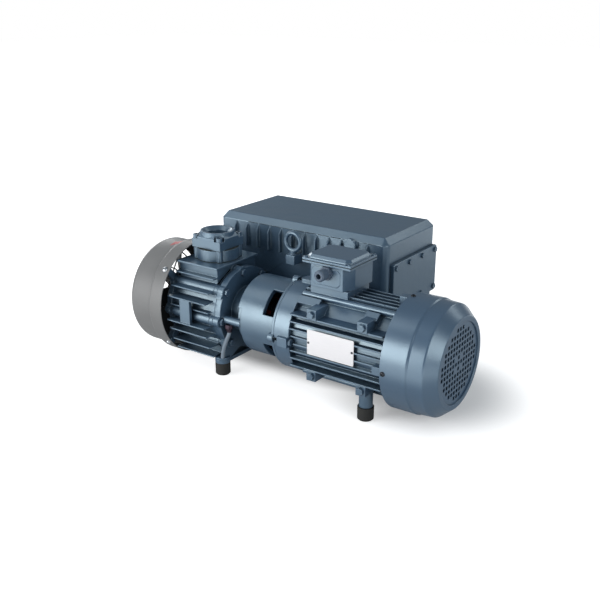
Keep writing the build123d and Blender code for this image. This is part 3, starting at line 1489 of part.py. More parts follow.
# Exhaust filter cartridges, necks seated in the duct
with BuildPart() as exhaust_filters:
    for y in filter_axis_y:
        with BuildSketch(facing_motor(duct_x + duct_depth + slide_gap)):
            with Locations((y, filter_axis_z)):
                ring(filter_radius, filter_core_radius)
        extrude(amount=filter_length)
        with BuildSketch(facing_motor(duct_x + duct_depth + filter_length - sheet)):
            with Locations((y, filter_axis_z)):
                Circle(filter_radius - 1)
        extrude(amount=sheet)
        with BuildSketch(facing_fan(duct_x + duct_depth + slide_gap)):
            with Locations((-y, filter_axis_z)):
                ring(filter_neck_radius, filter_core_radius)
        extrude(amount=filter_neck)
exhaust_filters.part.label = "exhaust_filters"
export_step(exhaust_filters.part, "parts/exhaust_filters.step")

# Bent leaf springs between filter ends and cover plate
filter_end = filter_start + filter_length
leaf_foot = 12.0
leaf_inner_foot = 9.0
leaf_tip = 26.0
leaf_inner_tip = 22.0
leaf_width = 16.0
leaf_thickness = 1.5
leaf_near = filter_end + slide_gap
leaf_far = x_cover_plate - slide_gap
with BuildPart() as filter_springs:
    for y in filter_axis_y:
        with BuildSketch(level(filter_axis_z - leaf_width / 2)):
            with BuildLine():
                Polyline((leaf_near, y - leaf_foot), (leaf_near, y + leaf_foot), (leaf_far, y + leaf_tip),
                         (leaf_far, y + leaf_inner_tip), (leaf_near + leaf_thickness, y + leaf_inner_foot),
                         (leaf_near + leaf_thickness, y - leaf_inner_foot), (leaf_far, y - leaf_inner_tip),
                         (leaf_far, y - leaf_tip), (leaf_near, y - leaf_foot))
            make_face()
        extrude(amount=leaf_width)
filter_springs.part.label = "filter_springs"
export_step(filter_springs.part, "parts/filter_springs.step")

# Fittings of the left end: exhaust flange, sight glass, plugs and oil filter
exhaust_flange_depth = 24.0
exhaust_thread_radius = 19.5
exhaust_flange_side = 62.0
exhaust_flange_corner = 8.0
exhaust_flange_base = 8.0
exhaust_neck_radius = 27.0
with BuildPart() as exhaust_flange:
    with BuildSketch(facing_fan(separator_x)):
        with Locations((-exhaust_y, exhaust_z)):
            Rectangle(exhaust_flange_side, exhaust_flange_side)
    extrude(amount=exhaust_flange_base)
    fillet(exhaust_flange.edges().filter_by(Axis.X), exhaust_flange_corner)
    with BuildSketch(facing_fan(separator_x)):
        with Locations((-exhaust_y, exhaust_z)):
            Circle(exhaust_neck_radius)
    extrude(amount=exhaust_flange_depth)
    with BuildSketch(facing_fan(separator_x)):
        with Locations((-exhaust_y, exhaust_z)):
            Circle(exhaust_thread_radius)
    extrude(amount=exhaust_flange_depth, mode=Mode.SUBTRACT)
exhaust_flange.part.label = "exhaust_flange"
export_step(exhaust_flange.part, "parts/exhaust_flange.step")

sight_ring = 3.0
sight_glass_step = 5.0
sight_height = 6.0
with BuildPart() as oil_sight_glass:
    with BuildSketch(facing_fan(separator_x)):
        with Locations((-sight_y, sight_z)):
            RegularPolygon(sight_radius + sight_ring, 6)
    extrude(amount=sight_height)
    with BuildSketch(facing_fan(separator_x)):
        with Locations((-sight_y, sight_z)):
            Circle(sight_radius - sight_thread_step - thread_gap)
    extrude(amount=-separator_wall)
    with BuildSketch(facing_fan(separator_x + separator_wall)):
        with Locations((-sight_y, sight_z)):
            Circle(sight_radius - sight_glass_step)
    extrude(amount=separator_wall + sight_height, mode=Mode.SUBTRACT)
oil_sight_glass.part.label = "oil_sight_glass"
export_step(oil_sight_glass.part, "parts/oil_sight_glass.step")

with BuildPart() as sight_glass_lens:
    with BuildSketch(facing_fan(separator_x + separator_wall - 1)):
        with Locations((-sight_y, sight_z)):
            Circle(sight_radius - sight_glass_step - seat_gap)
    extrude(amount=separator_wall + sight_height / 2)
sight_glass_lens.part.label = "sight_glass_lens"
export_step(sight_glass_lens.part, "parts/sight_glass_lens.step")

plug_collar = 4.0
plug_collar_height = 3.0
plug_hex_height = 7.0
with BuildPart() as oil_plugs:
    for y, z in ((fill_y, fill_z), (drain_y, drain_z)):
        with BuildSketch(facing_fan(separator_x)):
            with Locations((-y, z)):
                Circle(plug_radius + plug_collar)
        extrude(amount=plug_collar_height)
        with BuildSketch(facing_fan(separator_x - plug_collar_height)):
            with Locations((-y, z)):
                RegularPolygon(plug_radius, 6)
        extrude(amount=plug_hex_height)
        with BuildSketch(facing_fan(separator_x)):
            with Locations((-y, z)):
                Circle(plug_radius)
        extrude(amount=-separator_wall)
oil_plugs.part.label = "oil_plugs"
export_step(oil_plugs.part, "parts/oil_plugs.step")

oil_filter_radius = 38.0
oil_filter_length = 66.0
oil_filter_rounding = 8.0
with BuildPart() as oil_filter:
    with BuildSketch(facing_fan(separator_x)):
        with Locations((-filter_y, filter_z)):
            Circle(oil_filter_radius)
    extrude(amount=oil_filter_length)
    fillet(oil_filter.faces().sort_by(Axis.X)[0].edges(), oil_filter_rounding)
    with BuildSketch(facing_fan(separator_x)):
        with Locations((-filter_y, filter_z)):
            Circle(filter_thread_radius)
    extrude(amount=-separator_wall)
oil_filter.part.label = "oil_filter"
export_step(oil_filter.part, "parts/oil_filter.step")

# Outlet valve: spring leaf over the slots, bent stop plate and two screws
leaf_length = 76.0
leaf_bottom = outlet_z - 8.0
leaf_top = outlet_z + 19.0
leaf_sheet = 0.6
stop_sheet = 2.4
with BuildPart() as outlet_valve:
    with BuildSketch(upright(outlet_face + leaf_sheet + stop_sheet)):
        with Locations((x_cylinder_middle, (leaf_bottom + leaf_top) / 2)):
            Rectangle(leaf_length, leaf_top - leaf_bottom)
        outlet_valve_screws(valve_screw_radius + thread_gap, Mode.SUBTRACT)
    extrude(amount=leaf_sheet + stop_sheet)
outlet_valve.part.label = "outlet_valve"
export_step(outlet_valve.part, "parts/outlet_valve.step")

# Lifting eye bolt standing on its lug in front of the separator's wall
with BuildPart() as lifting_eye_bolt:
    with BuildSketch(level(eye_z)):
        with Locations((eye_x + eye_radius, eye_y)):
            Circle(eye_wire)
    revolve(axis=Axis((eye_x, shaft_y + eye_y, shaft_z + eye_z), (0, 1, 0)))
    with BuildSketch(level(eye_lug_top)):
        with Locations((eye_x, eye_y)):
            Circle(eye_lug_half - 1)
    extrude(amount=eye_wire / 2)
    with BuildSketch(level(eye_lug_top)):
        with Locations((eye_x, eye_y)):
            Circle(1.6 * eye_wire)
    extrude(amount=eye_z - eye_radius - eye_lug_top)
    with BuildSketch(level(eye_lug_top)):
        with Locations((eye_x, eye_y)):
            Circle(m8[2])
    extrude(amount=1 - eye_thread)
lifting_eye_bolt.part.label = "lifting_eye_bolt"
export_step(lifting_eye_bolt.part, "parts/lifting_eye_bolt.step")

# Oil pipe from the gallery boss down to the foot lug, with a hexagon fitting and a tapered nut
pipe_radius = 4.0
pipe_bend_top = 8.0
pipe_bend_foot = 27.0
fitting_height = 8.0
nut_height = 8.0
fitting_radius = 8.0
nut_radius = 7.0
nut_taper = 14
pipe_top = fitting_top - fitting_height - nut_height
pipe_foot_x = rail_x + 7.5
pipe_foot_y = foot_front - 8.5
pipe_foot_z = foot_web - rail_to_shaft
with BuildPart() as oil_pipe:
    with BuildLine(level(0)) as pipe_path:
        Bezier((pipe_x, pipe_y, pipe_top), (pipe_x, pipe_y, pipe_top - pipe_bend_top),
               (pipe_foot_x, pipe_foot_y, pipe_foot_z + pipe_bend_foot),
               (pipe_foot_x, pipe_foot_y, pipe_foot_z))
    with BuildSketch(Plane(origin=pipe_path.line @ 0, z_dir=pipe_path.line % 0)):
        Circle(pipe_radius)
    sweep()
oil_pipe.part.label = "oil_pipe"
export_step(oil_pipe.part, "parts/oil_pipe.step")

with BuildPart() as oil_pipe_fittings:
    with BuildSketch(level(fitting_top - fitting_height)):
        with Locations((pipe_x, pipe_y)):
            RegularPolygon(fitting_radius, 6)
    extrude(amount=fitting_height)
    with BuildSketch(level(fitting_top - fitting_height)):
        with Locations((pipe_x, pipe_y)):
            Circle(nut_radius)
    extrude(amount=-nut_height, taper=nut_taper)
oil_pipe_fittings.part.label = "oil_pipe_fittings"
export_step(oil_pipe_fittings.part, "parts/oil_pipe_fittings.step")

# Flat foot rail, motor pedestal, rubber feet and their studs
with BuildPart() as foot_rail:
    with BuildSketch(level(-rail_to_shaft)):
        with Locations((rail_x, (rail_front_end + rail_back_end) / 2)):
            Rectangle(rail_width, rail_back_end - rail_front_end - rail_width)
        with Locations((rail_x, foot_front), (rail_x, foot_rear)):
            Circle(foot_radius)
            Circle(foot_bolt_radius + thread_gap, mode=Mode.SUBTRACT)
    extrude(amount=-rail_thickness)
foot_rail.part.label = "foot_rail"
export_step(foot_rail.part, "parts/foot_rail.step")

pedestal_radius = 13.0
pedestal_top = -pad_z - pad_size / 2
z_foot_top = -rail_to_shaft - rail_thickness
with BuildPart() as motor_foot:
    with BuildSketch(level(z_foot_top)):
        with Locations((motor_foot_x, foot_front)):
            Circle(pedestal_radius)
            Circle(foot_bolt_radius + thread_gap, mode=Mode.SUBTRACT)
    extrude(amount=pedestal_top - z_foot_top)
motor_foot.part.label = "motor_foot"
export_step(motor_foot.part, "parts/motor_foot.step")

stud_depth = 12.0
feet = [(rail_x, foot_front, foot_web - rail_to_shaft - 1),
        (rail_x, foot_rear, separator_bottom + separator_wall - 1),
        (motor_foot_x, foot_front, pedestal_top + pad_stud_depth - 1),
        (foot_boss_x, foot_rear, separator_bottom + separator_wall - 1)]
foot_bevel = 2.5
with BuildPart() as rubber_feet:
    with BuildSketch(level(z_foot_top - foot_height)):
        with Locations(*[(x, y) for x, y, top in feet]):
            Circle(foot_radius)
    extrude(amount=foot_height)
    chamfer(rubber_feet.faces().filter_by(Axis.Z).group_by(Axis.Z)[0].edges(), foot_bevel)
    with BuildSketch(level(z_foot_top)):
        with Locations(*[(x, y) for x, y, top in feet]):
            Circle(foot_bolt_radius + thread_gap)
    extrude(amount=-stud_depth, mode=Mode.SUBTRACT)
rubber_feet.part.label = "rubber_feet"
export_step(rubber_feet.part, "parts/rubber_feet.step")

with BuildPart() as foot_studs:
    for x, y, top in feet:
        with BuildSketch(level(top)):
            with Locations((x, y)):
                Circle(foot_bolt_radius)
        extrude(amount=z_foot_top - stud_depth - top + 1)
foot_studs.part.label = "foot_studs"
export_step(foot_studs.part, "parts/foot_studs.step")

# Screws of the shaft line: both end plates, lantern, outlet flange and motor bolts
plate_screw_reach = m8_reach + flange_thickness - 2
fan_side_screw = hex_screw(m8, fan_plate_thickness + plate_screw_reach)
drive_side_screw = hex_screw(m8, drive_plate_thickness + plate_screw_reach)
lantern_screw = hex_screw(m8, lantern_web + m8_reach - 1)
motor_bolt = hex_screw(m8, motor_flange_thickness + shield_length - 1)
outlet_screw = hex_screw(m8, outlet_flange_thickness + gasket_thickness + separator_wall)
with BuildPart() as flange_screws:
    with Locations(facing_fan(x_fan_plate)):
        with PolarLocations(bolt_circle, bolt_count, start_angle=-bolt_start):
            add(fan_side_screw)
    with Locations(facing_motor(x_neck)):
        with PolarLocations(bolt_circle, bolt_count, start_angle=bolt_start):
            add(drive_side_screw)
    with Locations(facing_motor(x_lantern + lantern_web)):
        with PolarLocations(lantern_screw_circle, 4, start_angle=45):
            add(lantern_screw)
    with Locations(facing_motor(x_frame)):
        with PolarLocations(flange_lug_circle, 4, start_angle=flange_lug_start):
            add(motor_bolt)
    with Locations(upright(outlet_face - outlet_flange_thickness)):
        with Locations((x_cylinder_middle, outlet_z)):
            with GridLocations(outlet_flange_width - 2 * outlet_screw_inset,
                               outlet_flange_height - 2 * outlet_screw_inset, 2, 2):
                add(outlet_screw)
flange_screws.part.label = "flange_screws"
export_step(flange_screws.part, "parts/flange_screws.step")

pad_bolt = hex_screw(m8, m8_reach - 1)
with BuildPart() as motor_pad_bolts:
    for turn in (0, 180):
        with Locations(radial(0, turn, motor_pad_face)):
            with Locations(*[(x, z) for x in pad_x for z in (pad_z, -pad_z)]):
                add(pad_bolt)
motor_pad_bolts.part.label = "motor_pad_bolts"
export_step(motor_pad_bolts.part, "parts/motor_pad_bolts.step")

# Pan-head screws of the motor cowl and the terminal box lid, and of the outlet valve
pan_radius = 4.8
pan_height = 3.0
cowl_screw = round_screw(pan_radius, pan_height, m5_radius, 10, 1)
lid_screw = round_screw(pan_radius, pan_height, m5_radius, lid_rim + gasket_thickness + box_rim - 0.5, 1)
valve_screw = round_screw(pan_radius, pan_height, valve_screw_radius, outlet_flange_thickness, 1)
with BuildPart() as pan_screws:
    for number in range(4):
        with Locations(radial(x_cowl_screw, number * 90 - 3, cowl_radius)):
            add(cowl_screw)
    with Locations(level(z_lid + lid_rim)):
        with Locations((box_x, 0)):
            with GridLocations(2 * (lid_half_length - lid_screw_inset),
                               2 * (lid_half_width - lid_screw_inset), 2, 2):
                add(lid_screw)
    with Locations(Plane(origin=(0, shaft_y + outlet_face + leaf_sheet + stop_sheet, shaft_z),
                         x_dir=(-1, 0, 0), z_dir=(0, 1, 0))):
        with Locations((-x_cylinder_middle, outlet_z + valve_screw_rise)):
            with GridLocations(2 * outlet_slot_pitch, 0, 2, 1):
                add(valve_screw)
pan_screws.part.label = "pan_screws"
export_step(pan_screws.part, "parts/pan_screws.step")

# Flat gaskets: inlet stack, outlet, terminal box lid and exhaust cover
with BuildPart() as gaskets:
    for height in (deck_height, z_housing_top):
        with BuildSketch(level(height)):
            valve_housing_outline()
            inlet_screw_holes()
            with Locations((inlet_x, 0)):
                Circle(valve_bore_radius, mode=Mode.SUBTRACT)
        extrude(amount=gasket_thickness)
    with BuildSketch(upright(separator_front)):
        with Locations((x_cylinder_middle, outlet_z)):
            Rectangle(outlet_flange_width, outlet_flange_height)
            Rectangle(outlet_window_width, outlet_window_height, mode=Mode.SUBTRACT)
        outlet_screws(m8[2] + thread_gap, Mode.SUBTRACT)
    extrude(amount=gasket_thickness)
    with BuildSketch(level(z_box_rim)):
        with Locations((box_x, 0)):
            RectangleRounded(2 * lid_half_length, 2 * lid_half_width, lid_corner)
        box_outline(box_wall, Mode.SUBTRACT)
        lid_screws(m5_radius + thread_gap, Mode.SUBTRACT)
    extrude(amount=gasket_thickness)
    with BuildSketch(facing_motor(separator_end)):
        with Locations((cover_plate_y, cover_plate_z)):
            RectangleRounded(cover_plate_back - cover_plate_front, cover_plate_top - cover_plate_bottom, 4)
        with Locations(((cover_opening_front + cover_opening_back) / 2,
                        (cover_opening_bottom + cover_opening_top) / 2)):
            Rectangle(cover_opening_back - cover_opening_front, cover_opening_top - cover_opening_bottom,
                      mode=Mode.SUBTRACT)
        end_screws(m6[2] + thread_gap, Mode.SUBTRACT)
    extrude(amount=gasket_thickness)
gaskets.part.label = "gaskets"
export_step(gaskets.part, "parts/gaskets.step")
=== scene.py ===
import json
import math

import bmesh
import bpy
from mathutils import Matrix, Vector

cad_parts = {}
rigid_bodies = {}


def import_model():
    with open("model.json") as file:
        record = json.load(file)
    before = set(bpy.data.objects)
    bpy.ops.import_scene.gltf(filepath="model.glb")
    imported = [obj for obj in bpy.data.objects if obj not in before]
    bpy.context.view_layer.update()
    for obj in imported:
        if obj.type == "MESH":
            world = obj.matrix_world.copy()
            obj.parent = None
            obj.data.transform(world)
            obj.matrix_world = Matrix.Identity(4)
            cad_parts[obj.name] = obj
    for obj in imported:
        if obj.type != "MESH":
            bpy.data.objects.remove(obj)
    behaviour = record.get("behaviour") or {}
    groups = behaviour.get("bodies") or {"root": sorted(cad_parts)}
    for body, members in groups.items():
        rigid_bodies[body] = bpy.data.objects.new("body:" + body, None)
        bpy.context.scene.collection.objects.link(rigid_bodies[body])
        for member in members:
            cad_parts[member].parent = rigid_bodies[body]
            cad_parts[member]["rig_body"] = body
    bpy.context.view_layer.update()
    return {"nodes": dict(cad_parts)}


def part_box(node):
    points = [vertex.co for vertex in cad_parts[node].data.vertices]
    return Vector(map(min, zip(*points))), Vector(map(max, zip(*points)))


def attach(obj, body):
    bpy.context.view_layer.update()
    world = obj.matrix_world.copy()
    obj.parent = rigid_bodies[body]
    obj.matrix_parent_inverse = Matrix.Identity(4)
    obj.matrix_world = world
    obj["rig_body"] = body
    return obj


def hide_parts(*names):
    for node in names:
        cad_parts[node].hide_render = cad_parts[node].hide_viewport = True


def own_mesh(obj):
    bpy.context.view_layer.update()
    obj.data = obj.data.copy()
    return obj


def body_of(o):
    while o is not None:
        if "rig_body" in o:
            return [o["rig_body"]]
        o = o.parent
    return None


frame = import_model()
nodes = frame["nodes"]
scene = bpy.context.scene
print("loaded", len(nodes), "nodes")

# The shaft line in the row frame, metres; x counts from the fan cover's open end
shaft = {"x": -0.350, "y": -0.095, "z": 0.1285}


def mm(x, y, z):
    return Vector((shaft["x"] + x / 1000, shaft["y"] + y / 1000, shaft["z"] + z / 1000))


# Camera solved from the photograph
cameraSetup = {"place": (1233.33, -1233.79, 597.01), "turn": 35.347, "tilt": 20.04, "lens": 49.65, "sensor": 36,
               "farthest": 50}

cameraData = bpy.data.cameras.new("camera")
cameraData.lens = cameraSetup["lens"]
cameraData.sensor_width = cameraSetup["sensor"]
cameraData.clip_end = cameraSetup["farthest"]
camera = bpy.data.objects.new("camera", cameraData)
camera.location = mm(*cameraSetup["place"])
camera.rotation_euler = (math.radians(90 - cameraSetup["tilt"]), 0, math.radians(cameraSetup["turn"]))
scene.collection.objects.link(camera)
scene.camera = camera


# sRGB hex to the linear values that shaders take
def hexColor(code):
    parts = [int(code[i:i + 2], 16) / 255 for i in (1, 3, 5)]
    return tuple(p / 12.92 if p <= 0.04045 else ((p + 0.055) / 1.055) ** 2.4 for p in parts) + (1.0,)


# Adds a node, sets its properties, and sets or links its inputs. A node given to an input stands for its first
# output, a hex code for its colour, and a list for several links.
def addNode(tree, kind, inputs=None, **settings):
    node = tree.nodes.new(kind)
    for name, value in settings.items():
        setattr(node, name, value)
    pairs = [(key, item) for key, value in (inputs or {}).items()
             for item in (value if isinstance(value, list) else [value])]
    for key, value in pairs:
        if isinstance(value, bpy.types.Node):
            value = value.outputs[0]
        elif isinstance(value, str) and value.startswith("#"):
            value = hexColor(value)
        if isinstance(value, bpy.types.NodeSocket):
            tree.links.new(value, node.inputs[key])
        else:
            node.inputs[key].default_value = value
    return node


# A material with an empty tree, and the object's own coordinates in it
def newMaterial(name):
    material = bpy.data.materials.new(name)
    material.use_nodes = True
    tree = material.node_tree
    tree.nodes.clear()
    return material, tree, addNode(tree, "ShaderNodeTexCoord").outputs["Object"]


# Ends a material: its shader goes to the surface
def closeMaterial(material, shader):
    addNode(material.node_tree, "ShaderNodeOutputMaterial", {"Surface": shader})
    return material


# Texture scale whose features are about that many millimetres wide
def perMm(size):
    return 1000.0 / size


# Studio: a tall softbox stands at the front left, weaker ones over the left, at the back, the left and the right.
# The camera sees the floor lifted to white, and less so under the machine and where its shadow lies, which paints
# shadow on the floor there.
# A lamp has its place from the aim, its width and height, all in metres, and its power in watts.
studio = {
    "floor": "#e6e6e6", "floorHalf": 12.0, "surround": 0.29, "skylight": "#eaf6ff", "aim": (320, 0, 0),
    "shadowPlace": (0.24, 0.02, 0.0), "shadowReach": (0.08, 0.23), "shadowLift": (0.15, 0.75),
    "footprint": (0.27, 0.05, 0.0), "footReach": (0.0, 0.06), "farReach": (0.42, 0.95),
    "frontReach": (-0.30, -0.46), "backReach": (0.8, 1.2),
    "lamps": {
        "keySoftbox": ((-1.25, -2.2, 0.62), (1.7, 1.4), 42.0),
        "topSoftbox": ((-1.1, -0.6, 1.75), (1.2, 1.0), 5.0),
        "backSoftbox": ((0.8, 2.1, 1.5), (1.6, 0.6), 6.0),
        "leftSoftbox": ((-2.2, 1.1, 0.75), (1.3, 1.0), 16.0),
        "fillSoftbox": ((2.4, -0.7, 0.9), (1.4, 1.2), 17.0),
    },
}


# The share of the floor's own white that the camera sees at each place: little under the machine and in its shadow,
# so that a shadow is painted on the floor there
def floorLift(tree, spot):
    aside = addNode(tree, "ShaderNodeVectorMath", {0: spot}, operation="ABSOLUTE")
    past = addNode(tree, "ShaderNodeVectorMath", {0: aside, 1: studio["footprint"]}, operation="SUBTRACT")
    outside = addNode(tree, "ShaderNodeVectorMath", {0: past, 1: (0, 0, 0)}, operation="MAXIMUM")
    gap = addNode(tree, "ShaderNodeVectorMath", {0: outside}, operation="LENGTH").outputs["Value"]
    near = addNode(tree, "ShaderNodeVectorMath", {0: spot, 1: studio["shadowPlace"]}, operation="DISTANCE")
    shares = []
    for distance, reach in ((gap, studio["footReach"]), (near.outputs["Value"], studio["shadowReach"])):
        shares.append(addNode(tree, "ShaderNodeMapRange", {
            "Value": distance, "From Min": reach[0], "From Max": reach[1], "To Min": studio["shadowLift"][0],
            "To Max": studio["shadowLift"][1]}, interpolation_type="SMOOTHSTEP"))
    dark = addNode(tree, "ShaderNodeMath", {0: shares[0], 1: shares[1]}, operation="MINIMUM")
    wide = addNode(tree, "ShaderNodeVectorMath", {0: spot}, operation="LENGTH")
    far = addNode(tree, "ShaderNodeMapRange", {
        "Value": wide.outputs["Value"], "From Min": studio["farReach"][0], "From Max": studio["farReach"][1]},
        interpolation_type="SMOOTHSTEP")
    return addNode(tree, "ShaderNodeMix", {0: far, 2: dark, 3: 1.0})


# The floor glows white for glossy rays alone, well in front of the machine and far behind it but not close to it: a
# painted reflection on glossy surfaces
def paintedFloorReflection(tree, spot):
    deep = addNode(tree, "ShaderNodeSeparateXYZ", {0: spot}).outputs["Y"]
    ends = []
    for reach in (studio["frontReach"], studio["backReach"]):
        ends.append(addNode(tree, "ShaderNodeMapRange", {
            "Value": deep, "From Min": reach[0], "From Max": reach[1]}, interpolation_type="SMOOTHSTEP"))
    return addNode(tree, "ShaderNodeMath", {0: ends[0], 1: ends[1]}, operation="MAXIMUM")


def makeStudio():
    floorMaterial, tree, spot = newMaterial("studioFloor")
    body = addNode(tree, "ShaderNodeBsdfDiffuse", {"Color": studio["floor"]})
    path = addNode(tree, "ShaderNodeLightPath")
    seen = addNode(tree, "ShaderNodeMath", {
        0: path.outputs["Is Camera Ray"], 1: floorLift(tree, spot)}, operation="MULTIPLY")
    # Painted reflection: glossy rays see the floor glow
    paintedReflectionShare = addNode(tree, "ShaderNodeMath", {
        0: path.outputs["Is Glossy Ray"], 1: paintedFloorReflection(tree, spot)}, operation="MULTIPLY")
    seen = addNode(tree, "ShaderNodeMath", {0: seen, 1: paintedReflectionShare}, operation="MAXIMUM")
    glow = addNode(tree, "ShaderNodeEmission", {"Color": (1, 1, 1, 1), "Strength": seen})
    total = addNode(tree, "ShaderNodeAddShader", {0: body, 1: glow})
    closeMaterial(floorMaterial, total)
    mesh = bpy.data.meshes.new("studioFloor")
    half = studio["floorHalf"]
    mesh.from_pydata([(-half, -half, 0), (half, -half, 0), (half, half, 0), (-half, half, 0)], [], [(0, 1, 2, 3)])
    mesh.materials.append(floorMaterial)
    floor = bpy.data.objects.new("studioFloor", mesh)
    scene.collection.objects.link(floor)

    world = bpy.data.worlds.new("studio")
    world.use_nodes = True
    tree = world.node_tree
    tree.nodes.clear()
    path = addNode(tree, "ShaderNodeLightPath")
    seen = addNode(tree, "ShaderNodeMath", {
        0: path.outputs["Is Camera Ray"], 1: path.outputs["Is Transmission Ray"]}, operation="MAXIMUM")
    strength = addNode(tree, "ShaderNodeMapRange", {"Value": seen, "To Min": studio["surround"], "To Max": 1.0})
    tint = addNode(tree, "ShaderNodeMix", {0: seen, 6: studio["skylight"], 7: (1, 1, 1, 1)}, data_type="RGBA")
    sky = addNode(tree, "ShaderNodeBackground", {"Color": tint.outputs[2], "Strength": strength})
    addNode(tree, "ShaderNodeOutputWorld", {"Surface": sky})
    scene.world = world

    aim = mm(*studio["aim"])
    for name, (place, size, power) in studio["lamps"].items():
        data = bpy.data.lights.new(name, "AREA")
        data.shape = "RECTANGLE"
        data.size, data.size_y = size
        data.energy = power
        lamp = bpy.data.objects.new(name, data)
        lamp.location = aim + Vector(place)
        lamp.rotation_euler = Vector(place).to_track_quat("Z", "Y").to_euler()
        scene.collection.objects.link(lamp)


makeStudio()
scene.view_settings.view_transform = "Standard"
print("studio and camera")

feelers = {"edge": 4, "openness": 6}  # rays that feel for an edge to round and for open space
cloudSpan = (0.3, 0.7)  # the noise of the clouds hardly leaves it


# A tone that drifts between two colours, and a gloss that drifts with it
def cloudyTone(tree, place, look, detail, roughness=0.5):
    cloud = addNode(tree, "ShaderNodeTexNoise", {
        "Vector": place, "Scale": perMm(look["cloud"]), "Detail": detail, "Roughness": roughness})
    tone = addNode(tree, "ShaderNodeMix", {0: cloud, 6: look["deep"], 7: look["color"]}, data_type="RGBA")
    gloss = addNode(tree, "ShaderNodeMapRange", {
        "Value": cloud, "From Min": cloudSpan[0], "From Max": cloudSpan[1], "To Min": look["gloss"][0],
        "To Max": look["gloss"][1]})
    return tone.outputs[2], gloss


# What the enamels share: a strong, slightly blue gloss; how near a neighbour casts painted shade into a recess, in
# millimetres; how closed a place is from no painted shade to the most of it; and how far an edge leans from no
# painted highlight and rubbed paint to the full of both
enamelShared = {
    "ior": 2.2, "sheen": "#dcf4ff", "coat": 0.05, "coatGloss": 0.22, "recess": 30, "paintedShadeOpenness": (0.25, 0.85),
    "paintedShadeMost": 0.75, "rubAndHighlightLean": (0.98, 0.80)}


# Paint on a casting or sheet: cloudy tone, painted shade in recesses, thin edges painted pale as a highlight and as
# rubbed paint, uneven gloss, grain and slow waves in the surface
def paintedFinish(name, ownLook):
    look = {**enamelShared, **ownLook}
    material, tree, place = newMaterial(name)
    tone, gloss = cloudyTone(tree, place, look, 4.0, 0.6)
    rounded = addNode(tree, "ShaderNodeBevel", {"Radius": look["edge"] / 1000}, samples=feelers["edge"])
    flat = addNode(tree, "ShaderNodeNewGeometry")
    facing = addNode(tree, "ShaderNodeVectorMath", {0: rounded, 1: flat.outputs["Normal"]}, operation="DOT_PRODUCT")
    # Painted highlight on rounded edges, which also stands for paint rubbed off there
    edge = addNode(tree, "ShaderNodeMapRange", {
        "Value": facing.outputs["Value"], "From Min": look["rubAndHighlightLean"][0], "From Max": look["rubAndHighlightLean"][1],
        "To Min": 0.0, "To Max": look["rubAndHighlightShare"]})
    # Painted shade in recesses: the less open a place, the nearer its colour to the dark recess colour
    openness = addNode(tree, "ShaderNodeAmbientOcclusion", {
        "Distance": look["recess"] / 1000}, samples=feelers["openness"])
    paintedRecessShade = addNode(tree, "ShaderNodeMapRange", {
        "Value": openness.outputs["AO"], "From Min": look["paintedShadeOpenness"][0], "From Max": look["paintedShadeOpenness"][1],
        "To Min": look["paintedShadeMost"], "To Max": 0.0})
    paintedShadeTone = addNode(tree, "ShaderNodeMix", {0: paintedRecessShade, 6: tone, 7: look["paintedRecessShade"]}, data_type="RGBA")
    rubbedAndHighlit = addNode(tree, "ShaderNodeMix", {0: edge, 6: paintedShadeTone.outputs[2], 7: look["rubAndHighlight"]}, data_type="RGBA")
    wave = addNode(tree, "ShaderNodeTexNoise", {"Vector": place, "Scale": perMm(look["wave"]), "Detail": 1.0})
    slow = addNode(tree, "ShaderNodeBump", {"Height": wave, "Distance": look["waveDepth"] / 1000, "Normal": rounded})
    grain = addNode(tree, "ShaderNodeTexNoise", {
        "Vector": place, "Scale": perMm(look["grain"]), "Detail": 2.0, "Roughness": 0.55})
    fine = addNode(tree, "ShaderNodeBump", {"Height": grain, "Distance": look["grainDepth"] / 1000, "Normal": slow})
    shader = addNode(tree, "ShaderNodeBsdfPrincipled", {
        "Base Color": rubbedAndHighlit.outputs[2], "Roughness": gloss, "IOR": look["ior"], "Normal": fine,
        "Specular Tint": look["sheen"], "Coat Weight": look["coat"], "Coat Roughness": look["coatGloss"]})
    return closeMaterial(material, shader)


# What most metals share: thin edges and faint marks, in millimetres, alike in all directions
metalShared = {"edge": 0.4, "stretch": (1, 1, 1), "depth": 0.01}


# Bare or plated metal: tone and gloss drift, and turning or drawing marks run across one direction
def metalFinish(name, ownLook):
    look = {**metalShared, **ownLook}
    material, tree, place = newMaterial(name)
    tone, gloss = cloudyTone(tree, place, look, 3.0)
    stretch = addNode(tree, "ShaderNodeMapping", {"Vector": place, "Scale": look["stretch"]})
    marks = addNode(tree, "ShaderNodeTexNoise", {"Vector": stretch, "Scale": perMm(look["marks"]), "Detail": 3.0})
    rounded = addNode(tree, "ShaderNodeBevel", {"Radius": look["edge"] / 1000}, samples=feelers["edge"])
    scratch = addNode(tree, "ShaderNodeBump", {"Height": marks, "Distance": look["depth"] / 1000, "Normal": rounded})
    shader = addNode(tree, "ShaderNodeBsdfPrincipled", {
        "Base Color": tone, "Metallic": 1.0, "Roughness": gloss, "Normal": scratch})
    return closeMaterial(material, shader)


# Moulded or pressed non-metal: speckled tone and a moulded grain
def mouldedFinish(name, look):
    material, tree, place = newMaterial(name)
    tone, gloss = cloudyTone(tree, place, look, 4.0)
    cells = addNode(tree, "ShaderNodeTexVoronoi", {"Vector": place, "Scale": perMm(look["grain"])})
    rounded = addNode(tree, "ShaderNodeBevel", {"Radius": look["edge"] / 1000}, samples=feelers["edge"])
    pits = addNode(tree, "ShaderNodeBump", {
        "Height": cells.outputs["Distance"], "Distance": look["depth"] / 1000, "Normal": rounded})
    shader = addNode(tree, "ShaderNodeBsdfPrincipled", {
        "Base Color": tone, "Roughness": gloss, "IOR": 1.5, "Normal": pits})
    return closeMaterial(material, shader)
